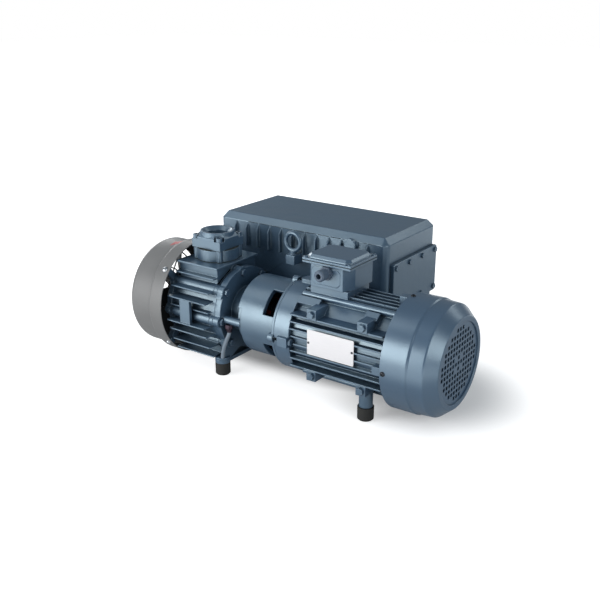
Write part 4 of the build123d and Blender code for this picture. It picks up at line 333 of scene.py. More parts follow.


# Widths of clouds, grain and waves and their depths are in millimetres
# In each enamel the dark recess colour is painted shade, and the pale edge colour is a painted highlight that also
# stands for paint rubbed off the edges
enamels = {
    # slate-blue enamel on cast iron: thick and sandy under a soft broad gloss
    "castIronEnamel": {
        "color": "#425a72", "deep": "#384d62", "rubAndHighlight": "#9fb4c8", "paintedRecessShade": "#141d27", "edge": 1.4, "rubAndHighlightShare": 0.7,
        "cloud": 55, "grain": 1.3, "grainDepth": 0.08, "wave": 14, "waveDepth": 0.20, "gloss": (0.32, 0.40)},
    # the same on aluminium castings: a finer grain and a little more gloss
    "aluminiumEnamel": {
        "color": "#435b74", "deep": "#3b5067", "rubAndHighlight": "#98adc2", "paintedRecessShade": "#141d27", "edge": 1.0, "rubAndHighlightShare": 0.7,
        "cloud": 60, "grain": 0.9, "grainDepth": 0.05, "wave": 18, "waveDepth": 0.12, "gloss": (0.28, 0.35)},
    # the same on drawn sheet: smooth, with a slow orange peel
    "sheetEnamel": {
        "color": "#425a74", "deep": "#3d526a", "rubAndHighlight": "#90a6bb", "paintedRecessShade": "#18222d", "edge": 0.7, "rubAndHighlightShare": 0.5,
        "cloud": 90, "grain": 2.4, "grainDepth": 0.004, "wave": 30, "waveDepth": 0.03, "gloss": (0.29, 0.34)},
    # the same, thick on screws: painted shade round them, and a painted highlight with rubbed paint at the corners
    "paintedScrewEnamel": {
        "color": "#425a72", "deep": "#30435a", "rubAndHighlight": "#a9bccd", "paintedRecessShade": "#0e151d", "edge": 0.7, "rubAndHighlightShare": 0.8,
        "cloud": 8, "grain": 0.8, "grainDepth": 0.05, "wave": 5, "waveDepth": 0.05, "gloss": (0.28, 0.40)},
    # neutral grey powder coat: even and satin
    "greyPowderCoat": {
        "color": "#7c7c7c", "deep": "#737373", "rubAndHighlight": "#b8b8b8", "paintedRecessShade": "#3a3a3a", "edge": 0.6, "rubAndHighlightShare": 0.4,
        "cloud": 80, "grain": 1.4, "grainDepth": 0.02, "wave": 30, "waveDepth": 0.06, "gloss": (0.40, 0.46),
        "sheen": "#ffffff", "ior": 1.5},
    # thin black paint on steel wire: dull satin
    "blackSteelPaint": {
        "color": "#26282b", "deep": "#1d1f21", "rubAndHighlight": "#4c4f53", "paintedRecessShade": "#0c0d0e", "edge": 0.5, "rubAndHighlightShare": 0.4,
        "cloud": 30, "grain": 1.0, "grainDepth": 0.04, "wave": 12, "waveDepth": 0.05, "gloss": (0.40, 0.52),
        "sheen": "#ffffff"},
    # stoving enamel of the filter can: warm white and glossy
    "canisterEnamel": {
        "color": "#e8e6e0", "deep": "#dedbd3", "rubAndHighlight": "#f4f3f0", "paintedRecessShade": "#8f8c84", "edge": 0.8, "rubAndHighlightShare": 0.4,
        "cloud": 60, "grain": 1.5, "grainDepth": 0.02, "wave": 25, "waveDepth": 0.08, "gloss": (0.24, 0.32),
        "coat": 0.3, "sheen": "#ffffff"},
    # pale enamel on the thin pipe: silvery and worn, with a painted highlight at its edges
    "pipeEnamel": {
        "color": "#8c97a4", "deep": "#76828f", "rubAndHighlight": "#c3cad2", "paintedRecessShade": "#3c454f", "edge": 0.5, "rubAndHighlightShare": 0.4,
        "cloud": 20, "grain": 0.9, "grainDepth": 0.03, "wave": 9, "waveDepth": 0.06, "gloss": (0.26, 0.36),
        "coat": 0.2},
}
metals = {
    # bright zinc on screws, plugs and the screen: pale, softly mottled
    "zincPlate": {"color": "#d3d6da", "deep": "#b4b9be", "marks": 0.6, "cloud": 6, "gloss": (0.22, 0.36)},
    # ground steel on shafts and rotor: fine rings round the shaft
    "groundSteel": {
        "color": "#b9bdc2", "deep": "#9da2a8", "marks": 1.2, "stretch": (1, 0.02, 0.02), "depth": 0.008,
        "cloud": 20, "gloss": (0.24, 0.34)},
    # bare cast iron of the hubs: dark, coarse and dull
    "castIronBare": {
        "color": "#6f7275", "deep": "#585b5f", "edge": 0.8, "marks": 1.4, "depth": 0.12, "cloud": 25,
        "gloss": (0.45, 0.6)},
    # turned brass of the sight glass: warm yellow with fine rings
    "brass": {
        "color": "#c9a35a", "deep": "#a98446", "marks": 0.8, "stretch": (0.1, 1, 1), "cloud": 12,
        "gloss": (0.24, 0.36)},
    # burnished steel of the pipe fittings: dark with a violet cast and soft glints
    "burnishedFitting": {
        "color": "#5e515b", "deep": "#3c343e", "edge": 0.5, "marks": 0.8, "stretch": (1, 1, 0.2), "depth": 0.02,
        "cloud": 5, "gloss": (0.28, 0.42)},
    # black oxide on small screws: near black with a metal glint
    "blackOxideSteel": {
        "color": "#4a4d52", "deep": "#2d3034", "edge": 0.5, "marks": 0.8, "depth": 0.02, "cloud": 5,
        "gloss": (0.3, 0.45)},
    # drawn spring steel: cool grey, smooth along the wire
    "springSteel": {
        "color": "#9a9da0", "deep": "#7d8084", "edge": 0.3, "marks": 0.5, "stretch": (0.1, 1, 1), "cloud": 8,
        "gloss": (0.25, 0.38)},
}
mouldings = {
    # natural rubber of the feet: dull, dusty black
    "footRubber": {
        "color": "#343432", "deep": "#262625", "edge": 0.8, "grain": 0.9, "depth": 0.04, "cloud": 14,
        "gloss": (0.68, 0.85)},
    # glass-filled polyamide of the fans: dark with a fine dry grain
    "blackPolyamide": {
        "color": "#2a2b2d", "deep": "#1e1f20", "edge": 0.5, "grain": 0.7, "depth": 0.03, "cloud": 20,
        "gloss": (0.42, 0.55)},
    # tinted polyamide of the gland: slate, with a soft gloss
    "glandPolyamide": {
        "color": "#5f6f82", "deep": "#4b5a6c", "edge": 0.5, "grain": 0.7, "depth": 0.02, "cloud": 10,
        "gloss": (0.34, 0.44)},
    # pressed fibre gasket: matt green-black
    "pressedGasket": {
        "color": "#39403c", "deep": "#2c322f", "edge": 0.1, "grain": 0.5, "depth": 0.03, "cloud": 4,
        "gloss": (0.8, 0.92)},
    # cast polyurethane of the coupling star: deep red and waxy
    "polyurethaneStar": {
        "color": "#a8342b", "deep": "#8e2a23", "edge": 0.6, "grain": 1.2, "depth": 0.02, "cloud": 15,
        "gloss": (0.36, 0.46)},
    # fibre resin of the vanes: brown-black and close-grained
    "vaneResin": {
        "color": "#3b3a36", "deep": "#2f2e2b", "edge": 0.3, "grain": 0.6, "depth": 0.02, "cloud": 3,
        "gloss": (0.4, 0.5)},
    # fibrous fleece round the filter cartridges: pale, soft and matt
    "filterFleece": {
        "color": "#e7e2d2", "deep": "#cfc8b4", "edge": 1.0, "grain": 1.6, "depth": 0.3, "cloud": 6,
        "gloss": (0.88, 0.98)},
}
paints = {name: paintedFinish(name, look) for name, look in enamels.items()}
paints.update({name: metalFinish(name, look) for name, look in metals.items()})
paints.update({name: mouldedFinish(name, look) for name, look in mouldings.items()})

# Fine bands across the shaft. Stacked laminations of the stator and rotor: thin dark lines, drawn coarser than 0.5 mm
# to show. Varnished copper winding: round glossy strands.
bandedMetals = {
    "laminatedSteel": {
        "band": 1.6, "color": "#8d8f92", "gap": "#4c4e51", "depth": 0.08, "waver": 0.0, "detail": 2.0,
        "metal": 1.0, "roughness": 0.5, "varnish": 0.0},
    "varnishedCopper": {
        "band": 1.4, "color": "#b5683a", "gap": "#6d3518", "depth": 0.3, "waver": 1.2, "detail": 1.0,
        "metal": 0.7, "roughness": 0.34, "varnish": 0.4},
}
waveAtOne = math.pi / 10  # a wave texture has its bands this far apart at scale one


def bandedFinish(name, look):
    material, tree, place = newMaterial(name)
    bands = addNode(tree, "ShaderNodeTexWave", {
        "Vector": place, "Scale": perMm(look["band"]) * waveAtOne, "Distortion": look["waver"],
        "Detail": look["detail"]}, bands_direction="X")
    tone = addNode(tree, "ShaderNodeMix", {
        0: bands.outputs["Fac"], 6: look["gap"], 7: look["color"]}, data_type="RGBA")
    ridge = addNode(tree, "ShaderNodeBump", {"Height": bands.outputs["Fac"], "Distance": look["depth"] / 1000})
    shader = addNode(tree, "ShaderNodeBsdfPrincipled", {
        "Base Color": tone.outputs[2], "Metallic": look["metal"], "Roughness": look["roughness"], "Normal": ridge,
        "Coat Weight": look["varnish"]})
    return closeMaterial(material, shader)


# Sight glass: clear pane with a breath of amber from the oil behind it
glassLook = {"smear": 9, "haze": (0.02, 0.12), "color": "#f4ecd0", "deep": "#e9d9a8", "ior": 1.5, "clear": 0.9}


def glassFinish():
    material, tree, place = newMaterial("sightGlass")
    smear = addNode(tree, "ShaderNodeTexNoise", {"Vector": place, "Scale": perMm(glassLook["smear"])})
    haze = addNode(tree, "ShaderNodeMapRange", {
        "Value": smear, "To Min": glassLook["haze"][0], "To Max": glassLook["haze"][1]})
    tint = addNode(tree, "ShaderNodeMix", {0: smear, 6: glassLook["deep"], 7: glassLook["color"]}, data_type="RGBA")
    shader = addNode(tree, "ShaderNodeBsdfPrincipled", {
        "Base Color": tint.outputs[2], "Roughness": haze, "IOR": glassLook["ior"],
        "Transmission Weight": glassLook["clear"]})
    return closeMaterial(material, shader)


# Rating plate: pale anodised sheet, brushed along its length, left blank
plateLook = {
    "color": "#f3f1f2", "deep": "#e8e6e8", "brush": 0.7, "stretch": (0.03, 1, 1), "depth": 0.01, "metal": 0.25,
    "gloss": 0.36}


def plateFinish():
    material, tree, place = newMaterial("brushedPlate")
    stretch = addNode(tree, "ShaderNodeMapping", {"Vector": place, "Scale": plateLook["stretch"]})
    brush = addNode(tree, "ShaderNodeTexNoise", {
        "Vector": stretch, "Scale": perMm(plateLook["brush"]), "Detail": 3.0})
    tone = addNode(tree, "ShaderNodeMix", {0: brush, 6: plateLook["deep"], 7: plateLook["color"]}, data_type="RGBA")
    lines = addNode(tree, "ShaderNodeBump", {"Height": brush, "Distance": plateLook["depth"] / 1000})
    shader = addNode(tree, "ShaderNodeBsdfPrincipled", {
        "Base Color": tone.outputs[2], "Metallic": plateLook["metal"], "Roughness": plateLook["gloss"],
        "Normal": lines})
    return closeMaterial(material, shader)


# Red screen print of the rotation arrow: flat ink, a little uneven
printLook = {"color": "#c23a3c", "deep": "#a5262a", "film": 3, "gloss": 0.4}


def printFinish():
    material, tree, place = newMaterial("redScreenPrint")
    film = addNode(tree, "ShaderNodeTexNoise", {"Vector": place, "Scale": perMm(printLook["film"]), "Detail": 2.0})
    tone = addNode(tree, "ShaderNodeMix", {0: film, 6: printLook["deep"], 7: printLook["color"]}, data_type="RGBA")
    shader = addNode(tree, "ShaderNodeBsdfPrincipled", {
        "Base Color": tone.outputs[2], "Roughness": printLook["gloss"]})
    return closeMaterial(material, shader)


paints.update({name: bandedFinish(name, look) for name, look in bandedMetals.items()})
paints.update({"sightGlass": glassFinish(), "brushedPlate": plateFinish(), "redScreenPrint": printFinish()})
print("materials", len(paints))

# The finish of every CAD node
finishOfNode = {
    "castIronEnamel": [
        "pump_cylinder", "end_plate_fan_side", "end_plate_drive_side", "lantern", "separator_housing",
        "inlet_flange", "inlet_valve_housing", "exhaust_cover_plate", "exhaust_flange", "motor_foot",
        "lifting_eye_bolt"],
    "aluminiumEnamel": [
        "motor_frame", "drive_end_shield", "fan_end_shield", "terminal_box_base", "terminal_box_lid", "foot_rail"],
    "sheetEnamel": ["motor_fan_cowl", "cowl_grille"],
    "greyPowderCoat": ["pump_fan_cover"],
    "blackSteelPaint": ["pump_fan_guard"],
    "paintedScrewEnamel": ["flange_screws", "exhaust_cover_screws", "motor_pad_bolts"],
    "canisterEnamel": ["oil_filter"],
    "pipeEnamel": ["oil_pipe"],
    "zincPlate": ["fan_cover_screws", "pan_screws", "foot_studs", "oil_plugs", "inlet_screen", "filter_partition"],
    "groundSteel": ["pump_rotor", "motor_shaft", "bearings", "inlet_valve_plate", "outlet_valve"],
    "castIronBare": ["pump_coupling_hub", "motor_coupling_hub"],
    "burnishedFitting": ["oil_pipe_fittings"],
    "brass": ["oil_sight_glass"],
    "blackOxideSteel": ["inlet_screws"],
    "springSteel": ["inlet_valve_spring", "filter_springs"],
    "footRubber": ["rubber_feet"],
    "blackPolyamide": ["pump_fan", "motor_fan", "terminal_block", "shaft_seals"],
    "glandPolyamide": ["cable_gland"],
    "pressedGasket": ["gaskets"],
    "polyurethaneStar": ["coupling_spider"],
    "vaneResin": ["rotor_vanes"],
    "filterFleece": ["exhaust_filters"],
    "laminatedSteel": ["stator_core", "rotor_core"],
    "varnishedCopper": ["stator_windings"],
    "sightGlass": ["sight_glass_lens"],
    "brushedPlate": ["nameplate"],
}
paintOfNode = {node: paints[name] for name, names in finishOfNode.items() for node in names}
for node, part in nodes.items():
    part.data.materials.clear()
    part.data.materials.append(paintOfNode[node])
print("finished nodes", len(paintOfNode))


# Turns the evaluated object into a plain mesh with one material
def settle(piece, material, sharpAngle=None):
    graph = bpy.context.evaluated_depsgraph_get()
    plain = bpy.data.meshes.new_from_object(piece.evaluated_get(graph), depsgraph=graph)
    piece.modifiers.clear()
    piece.data = plain
    plain.name = piece.name
    plain.materials.clear()
    plain.materials.append(material)
    plain.polygons.foreach_set("material_index", [0] * len(plain.polygons))
    if sharpAngle:
        plain.shade_smooth()
        plain.set_sharp_from_angle(angle=math.radians(sharpAngle))
    return piece


def newPiece(name, mesh):
    piece = bpy.data.objects.new(name, mesh)
    scene.collection.objects.link(piece)
    return piece


def meshOf(name, shape):
    mesh = bpy.data.meshes.new(name)
    shape.to_mesh(mesh)
    shape.free()
    return mesh


# Gives a piece the body of a node
def joinTo(piece, bodyNode):
    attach(piece, body_of(nodes[bodyNode])[0])


# The same for a piece that is shown instead of a node
def standFor(piece, node):
    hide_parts(node)
    joinTo(piece, node)


samePoint = 1e-5  # metres; points nearer than this become one

# How a casting is made again: which edges are flat and which are sharp, in degrees, and the steps of a rounded one
recasting = {"flat": 0.6, "sharp": 30, "segments": 2}


# A casting with one skin and cast or broken edges, from a merged copy of its CAD node
def recast(name, node, width):
    sharp = math.radians(recasting["sharp"])
    shape = bmesh.new()
    shape.from_mesh(nodes[node].data)
    bmesh.ops.remove_doubles(shape, verts=shape.verts, dist=samePoint)
    bmesh.ops.dissolve_limit(shape, angle_limit=math.radians(recasting["flat"]), verts=shape.verts, edges=shape.edges)
    mesh = meshOf(name, shape)
    mesh.shade_smooth()
    mesh.set_sharp_from_angle(angle=sharp)
    piece = newPiece(name, mesh)
    broken = piece.modifiers.new("brokenEdges", "BEVEL")
    broken.limit_method = "ANGLE"
    broken.angle_limit = sharp
    broken.width = width / 1000
    broken.segments = recasting["segments"]
    broken.use_clamp_overlap = False
    broken.miter_outer = "MITER_ARC"
    even = piece.modifiers.new("evenNormals", "WEIGHTED_NORMAL")
    even.keep_sharp = True
    settle(piece, paintOfNode[node])
    standFor(piece, node)
    print("recast", name, len(piece.data.polygons))


# Edge widths in millimetres: sand castings are rounder than machined or die-cast pieces
castEdges = {
    "pumpCylinder": ("pump_cylinder", 0.9), "fanSidePlate": ("end_plate_fan_side", 0.9),
    "driveSidePlate": ("end_plate_drive_side", 0.9), "lanternHousing": ("lantern", 0.9),
    "separatorBox": ("separator_housing", 1.1), "inletPortFlange": ("inlet_flange", 0.7),
    "inletValveBody": ("inlet_valve_housing", 0.8),
    "exhaustPort": ("exhaust_flange", 0.8), "motorFoot": ("motor_foot", 0.6), "motorFrame": ("motor_frame", 0.5),
    "driveShield": ("drive_end_shield", 0.7), "fanShield": ("fan_end_shield", 0.6),
    "terminalBox": ("terminal_box_base", 0.8), "terminalBoxLid": ("terminal_box_lid", 0.8),
    "footRail": ("foot_rail", 0.6), "glandBody": ("cable_gland", 0.4), "pipeFittings": ("oil_pipe_fittings", 0.4),
    "ratingPlate": ("nameplate", 0.25),
}
for name, (node, width) in castEdges.items():
    recast(name, node, width)
print("castings")


# Adds a ring close to both ends of every long stretch, so that the shading of a round edge stays in it
def heldProfile(profile, hold=0.7):
    held = []
    for index, (x, r) in enumerate(profile):
        nextX, nextR = profile[(index + 1) % len(profile)]
        held.append((x, r))
        length = math.hypot(nextX - x, nextR - r)
        if length > 3 * hold:
            for part in (hold / length, 1 - hold / length):
                held.append((x + (nextX - x) * part, r + (nextR - r) * part))
    return held


coverSharp = 35  # degrees of an edge that stays sharp on a turned cover


# A closed profile of x and radius in millimetres, turned round the shaft
def turned(name, profile, steps=160):
    profile = heldProfile(profile)
    shape = bmesh.new()
    rings = []
    for number in range(steps):
        angle = 2 * math.pi * number / steps
        rings.append([shape.verts.new(mm(x, r * math.cos(angle), r * math.sin(angle))) for x, r in profile])
    for number in range(steps):
        one, other = rings[number], rings[(number + 1) % steps]
        for index in range(len(profile)):
            after = (index + 1) % len(profile)
            shape.faces.new((one[index], one[after], other[after], other[index]))
    bmesh.ops.recalc_face_normals(shape, faces=shape.faces)
    mesh = meshOf(name, shape)
    mesh.shade_smooth()
    mesh.set_sharp_from_angle(angle=math.radians(coverSharp))
    return newPiece(name, mesh)


# Points of an arc, and of a soft step between two points, as x and radius in millimetres
def arc(middleX, middleR, radius, start, end, steps=8):
    turns = [math.radians(start + (end - start) * n / steps) for n in range(steps + 1)]
    return [(middleX + radius * math.cos(t), middleR + radius * math.sin(t)) for t in turns]


def easing(x0, r0, x1, r1, steps=10):
    return [(x0 + (x1 - x0) * n / steps, r0 + (r1 - r0) * (3 * (n / steps) ** 2 - 2 * (n / steps) ** 3))
            for n in range(steps + 1)]


# Spun fan cover: rolled inlet edge, round shoulder, drum, joggle and the wider collar with a hemmed edge
fanCover = {"inlet": 98.0, "drum": 113.0, "shoulder": 13.0, "joggle": (63.0, 67.5), "bead": 5.0, "collar": 120.0,
            "length": 98.0, "wall": 1.6, "rise": ((-1.4, 0.0), (-0.4, 0.4)), "inset": 0.6}


def makeFanCover():
    wall, drum, collar, corner = fanCover["wall"], fanCover["drum"], fanCover["collar"], fanCover["shoulder"]
    first, last = fanCover["joggle"]
    lip = wall / 2
    profile = arc(lip, fanCover["inlet"] + lip, lip, 0, -180)
    profile += arc(corner, drum - corner, corner, 180, 90, steps=14)
    profile += [(first + x, drum + r) for x, r in fanCover["rise"]]
    profile += arc(first + fanCover["bead"], collar - fanCover["bead"], fanCover["bead"], 180, 90)
    profile += arc(fanCover["length"] - lip, collar - lip, lip, 90, -90)
    profile += easing(last + fanCover["inset"], collar - wall, first + fanCover["inset"], drum - wall)
    profile += arc(corner, drum - corner, corner - wall, 90, 180, steps=12)
    cover = turned("fanCover", profile)
    cover.data.materials.append(paints["greyPowderCoat"])
    standFor(cover, "pump_fan_cover")


makeFanCover()

# Motor fan cowl: drawn sheet with a shallow step, a crease, a cone and a rolled mouth
fanCowl = {"start": 599.0, "end": 700.0, "front": 107.0, "step": (648.0, 652.5), "rear": 105.0,
           "crease": (679.5, 103.2), "bend": ((-2.5, 0.2), (-0.9, 0.0), (0.6, -0.9), (2.2, -2.3)),
           "coneEnd": (697.6, 85.6), "corner": 3.3, "mouth": 75.5, "lip": 1.4, "depth": 3.0, "land": 2.6,
           "wall": 2.0, "inset": 0.5}


def makeFanCowl():
    wall, front, rear = fanCowl["wall"], fanCowl["front"], fanCowl["rear"]
    start, end, mouth = fanCowl["start"], fanCowl["end"], fanCowl["mouth"]
    lip, inset = fanCowl["lip"], fanCowl["inset"]
    first, last = fanCowl["step"]
    creaseX, creaseR = fanCowl["crease"]
    coneX, coneR = fanCowl["coneEnd"]
    edge = wall / 2
    profile = arc(start + edge, front - edge, edge, 270, 90)
    profile += easing(first, front, last, rear)
    profile += [(creaseX + x, creaseR + r) for x, r in fanCowl["bend"]]
    profile += arc(coneX - 0.9, coneR - 2.2, fanCowl["corner"], 52, 0)
    profile += arc(end - lip, mouth + lip, lip, 0, -90, steps=6)
    profile += [(end - fanCowl["depth"], mouth), (end - fanCowl["depth"], coneR - fanCowl["land"])]
    profile += [(creaseX - 1, creaseR - wall)]
    profile += easing(last - inset, rear - wall, first - inset, front - wall)
    cowl = turned("motorFanCowl", profile)
    cowl.data.materials.append(paints["sheetEnamel"])
    standFor(cowl, "motor_fan_cowl")


makeFanCowl()
print("turned covers")


# A geometry tree with named inputs; returns the tree, what its inputs give and their identifiers
def newGeometryTree(name, inputs):
    tree = bpy.data.node_groups.new(name, "GeometryNodeTree")
    tree.interface.new_socket(name="Geometry", in_out="INPUT", socket_type="NodeSocketGeometry")
    identifiers = {}
    for label, kind in inputs.items():
        socket = tree.interface.new_socket(name=label, in_out="INPUT", socket_type="NodeSocket" + kind)
        identifiers[label] = socket.identifier
    tree.interface.new_socket(name="Geometry", in_out="OUTPUT", socket_type="NodeSocketGeometry")
    return tree, addNode(tree, "NodeGroupInput").outputs, identifiers


# Ends a geometry tree: instances made real, then the material
def closeTree(tree, given, geometry):
    real = addNode(tree, "GeometryNodeRealizeInstances", {"Geometry": geometry})
    finish = addNode(tree, "GeometryNodeSetMaterial", {"Geometry": real, "Material": given["Material"]})
    addNode(tree, "NodeGroupOutput", {"Geometry": finish})


# Ends a screw tree: turned instances on points that carry their outward way
def closeScrewTree(tree, given, screw):
    way = addNode(tree, "GeometryNodeInputNamedAttribute", {"Name": "way"}, data_type="FLOAT_VECTOR")
    upright = addNode(tree, "FunctionNodeAlignRotationToVector", {"Vector": way}, axis="Z")
    spin = addNode(tree, "FunctionNodeRandomValue", {
        "Min": 0.0, "Max": given["Loose Turn"], "Seed": given["Seed"]}, data_type="FLOAT")
    own = addNode(tree, "FunctionNodeAxisAngleToRotation", {"Axis": (0, 0, 1), "Angle": spin.outputs["Value"]})
    turnedBy = addNode(tree, "FunctionNodeRotateRotation", {
        "Rotation": upright, "Rotate By": own}, rotation_space="LOCAL")
    placed = addNode(tree, "GeometryNodeInstanceOnPoints", {
        "Points": given["Geometry"], "Instance": screw, "Rotation": turnedBy})
    closeTree(tree, given, placed)


def raised(tree, shape, height):
    offset = addNode(tree, "ShaderNodeCombineXYZ", {"Z": height})
    return addNode(tree, "GeometryNodeTransform", {"Geometry": shape, "Translation": offset})


# Parts of a hexagon head's height and of its corner radius, and the sides of the round forms
headForm = {"prism": 0.84, "chamfer": 0.16, "top": 0.86, "washer": 28, "dome": (28, 14), "drum": 32}


# Hexagon screw: round washer face, prism and the turned chamfer on top
def hexScrewTree():
    tree, given, ids = newGeometryTree("hexScrews", {
        "Across Flats": "Float", "Head Height": "Float", "Washer Radius": "Float", "Washer Thickness": "Float",
        "Loose Turn": "Float", "Seed": "Int", "Material": "Material"})
    thickness, height = given["Washer Thickness"], given["Head Height"]
    corner = addNode(tree, "ShaderNodeMath", {0: given["Across Flats"], 1: math.sqrt(3)}, operation="DIVIDE")
    sizes = {}
    for label, value, share in (
            ("washerMiddle", thickness, 0.5), ("prism", height, headForm["prism"]),
            ("chamfer", height, headForm["chamfer"]), ("top", corner, headForm["top"])):
        sizes[label] = addNode(tree, "ShaderNodeMath", {0: value, 1: share}, operation="MULTIPLY")
    halfPrism = addNode(tree, "ShaderNodeMath", {0: sizes["prism"], 1: 0.5}, operation="MULTIPLY")
    washer = addNode(tree, "GeometryNodeMeshCylinder", {
        "Vertices": headForm["washer"], "Radius": given["Washer Radius"], "Depth": thickness})
    prism = addNode(tree, "GeometryNodeMeshCylinder", {"Vertices": 6, "Radius": corner, "Depth": sizes["prism"]})
    cap = addNode(tree, "GeometryNodeMeshCone", {
        "Vertices": 6, "Radius Bottom": corner, "Radius Top": sizes["top"], "Depth": sizes["chamfer"]})
    parts = [raised(tree, washer.outputs["Mesh"], sizes["washerMiddle"])]
    for shape, above in ((prism, halfPrism), (cap, sizes["prism"])):
        lift = addNode(tree, "ShaderNodeMath", {0: thickness, 1: above}, operation="ADD")
        parts.append(raised(tree, shape.outputs["Mesh"], lift))
    joined = addNode(tree, "GeometryNodeJoinGeometry", {0: parts})
    closeScrewTree(tree, given, joined)
    return tree, ids


# Socket screw: a straight head, or a dome where it is domed, with a sunk hexagon
def socketScrewTree(name, domed):
    tree, given, ids = newGeometryTree(name, {
        "Head Radius": "Float", "Head Height": "Float", "Socket Radius": "Float", "Socket Depth": "Float",
        "Loose Turn": "Float", "Seed": "Int", "Material": "Material"})
    radius, height = given["Head Radius"], given["Head Height"]
    if domed:
        ball = addNode(tree, "GeometryNodeMeshUVSphere", {
            "Segments": headForm["dome"][0], "Rings": headForm["dome"][1], "Radius": 1.0})
        size = addNode(tree, "ShaderNodeCombineXYZ", {"X": radius, "Y": radius, "Z": height})
        head = addNode(tree, "GeometryNodeTransform", {"Geometry": ball.outputs["Mesh"], "Scale": size})
    else:
        drum = addNode(tree, "GeometryNodeMeshCylinder", {
            "Vertices": headForm["drum"], "Radius": radius, "Depth": height})
        middle = addNode(tree, "ShaderNodeMath", {0: height, 1: 0.5}, operation="MULTIPLY")
        head = raised(tree, drum.outputs["Mesh"], middle)
    key = addNode(tree, "GeometryNodeMeshCylinder", {
        "Vertices": 6, "Radius": given["Socket Radius"], "Depth": height})
    above = addNode(tree, "ShaderNodeMath", {0: height, 1: 1.5}, operation="MULTIPLY")
    floor = addNode(tree, "ShaderNodeMath", {0: above, 1: given["Socket Depth"]}, operation="SUBTRACT")
    cut = addNode(tree, "GeometryNodeMeshBoolean", {
        "Mesh 1": head, "Mesh 2": raised(tree, key.outputs["Mesh"], floor)}, operation="DIFFERENCE")
    closeScrewTree(tree, given, cut)
    return tree, ids


# Rows of holes, how much of a pitch a solid spot may be off, and the steps of the edge and of a hole's corner
grilleForm = {"rows": 13, "spot": 0.2, "edge": 96, "corner": 3}


# Grille disc: square holes with soft corners in a grid, inside a round zone, four spots left solid round the middle
def grilleTree():
    tree, given, ids = newGeometryTree("grilleDisc", {
        "Disc Radius": "Float", "Zone Radius": "Float", "Hole": "Float", "Corner": "Float", "Pitch": "Float",
        "Thickness": "Float", "Material": "Material"})
    rows = grilleForm["rows"]
    widths = []
    for share in (float(rows - 1), math.sqrt(2), grilleForm["spot"]):
        widths.append(addNode(tree, "ShaderNodeMath", {0: given["Pitch"], 1: share}, operation="MULTIPLY"))
    across, solidSpot, slack = widths
    grid = addNode(tree, "GeometryNodeMeshGrid", {
        "Size X": across, "Size Y": across, "Vertices X": rows, "Vertices Y": rows})
    place = addNode(tree, "GeometryNodeInputPosition")
    distance = addNode(tree, "ShaderNodeVectorMath", {0: place}, operation="LENGTH")
    far = addNode(tree, "FunctionNodeCompare", {
        "A": distance.outputs["Value"], "B": given["Zone Radius"]}, operation="GREATER_THAN")
    past = addNode(tree, "ShaderNodeMath", {0: distance.outputs["Value"], 1: solidSpot}, operation="SUBTRACT")
    off = addNode(tree, "ShaderNodeMath", {0: past}, operation="ABSOLUTE")
    solid = addNode(tree, "FunctionNodeCompare", {"A": off, "B": slack}, operation="LESS_THAN")
    dropped = addNode(tree, "FunctionNodeBooleanMath", {0: far, 1: solid}, operation="OR")
    kept = addNode(tree, "GeometryNodeDeleteGeometry", {
        "Geometry": grid.outputs["Mesh"], "Selection": dropped}, domain="POINT")
    square = addNode(tree, "GeometryNodeCurvePrimitiveQuadrilateral", {
        "Width": given["Hole"], "Height": given["Hole"]})
    soft = addNode(tree, "GeometryNodeFilletCurve", {
        "Curve": square, "Count": grilleForm["corner"], "Radius": given["Corner"]}, mode="POLY")
    holes = addNode(tree, "GeometryNodeInstanceOnPoints", {"Points": kept, "Instance": soft})
    real = addNode(tree, "GeometryNodeRealizeInstances", {"Geometry": holes})
    edge = addNode(tree, "GeometryNodeCurvePrimitiveCircle", {
        "Resolution": grilleForm["edge"], "Radius": given["Disc Radius"]})
    outline = addNode(tree, "GeometryNodeJoinGeometry", {0: [real, edge]})
    face = addNode(tree, "GeometryNodeFillCurve", {"Curve": outline})
    thick = addNode(tree, "GeometryNodeExtrudeMesh", {
        "Mesh": face, "Offset Scale": given["Thickness"], "Individual": False})
    back = addNode(tree, "GeometryNodeFlipFaces", {"Mesh": face})
    shell = addNode(tree, "GeometryNodeJoinGeometry", {0: [thick, back]})
    merged = addNode(tree, "GeometryNodeMergeByDistance", {"Geometry": shell, "Distance": samePoint})
    side = addNode(tree, "GeometryNodeTransform", {"Geometry": merged, "Rotation": (0, math.pi / 2, 0)})
    closeTree(tree, given, side)
    return tree, ids


smoothBelow = 32  # degrees between faces that shade as one


# Runs a tree on points and leaves the plain result
def grow(name, points, treeAndIds, values, ways=None):
    tree, ids = treeAndIds
    mesh = bpy.data.meshes.new(name)
    mesh.from_pydata([tuple(p) for p in points], [], [])
    if ways:
        attribute = mesh.attributes.new("way", "FLOAT_VECTOR", "POINT")
        attribute.data.foreach_set("vector", [c for way in ways for c in way])
    piece = newPiece(name, mesh)
    modifier = piece.modifiers.new("grow", "NODES")
    modifier.node_group = tree
    for label, value in values.items():
        modifier[ids[label]] = value
    return settle(piece, values["Material"], smoothBelow)


def shift(piece, offset):
    for vertex in piece.data.vertices:
        vertex.co = vertex.co + offset


# Points on a circle across the shaft, all facing one way along it
def ringOf(x, radius, count, start, way):
    turns = [math.radians(start + 360 * n / count) for n in range(count)]
    return [(mm(x, radius * math.cos(t), radius * math.sin(t)), (way, 0, 0)) for t in turns]


# Points on the skin of a drum, facing out from the shaft; the angle counts up from the front
def skinOf(x, radius, angles):
    ways = [(0, -math.cos(math.radians(a)), math.sin(math.radians(a))) for a in angles]
    return [(mm(x, radius * w[1], radius * w[2]), w) for w in ways]


# Points at every mix of these x, y and z, facing one way
def gridOf(xs, ys, zs, way):
    return [(mm(x, y, z), way) for x in xs for y in ys for z in zs]


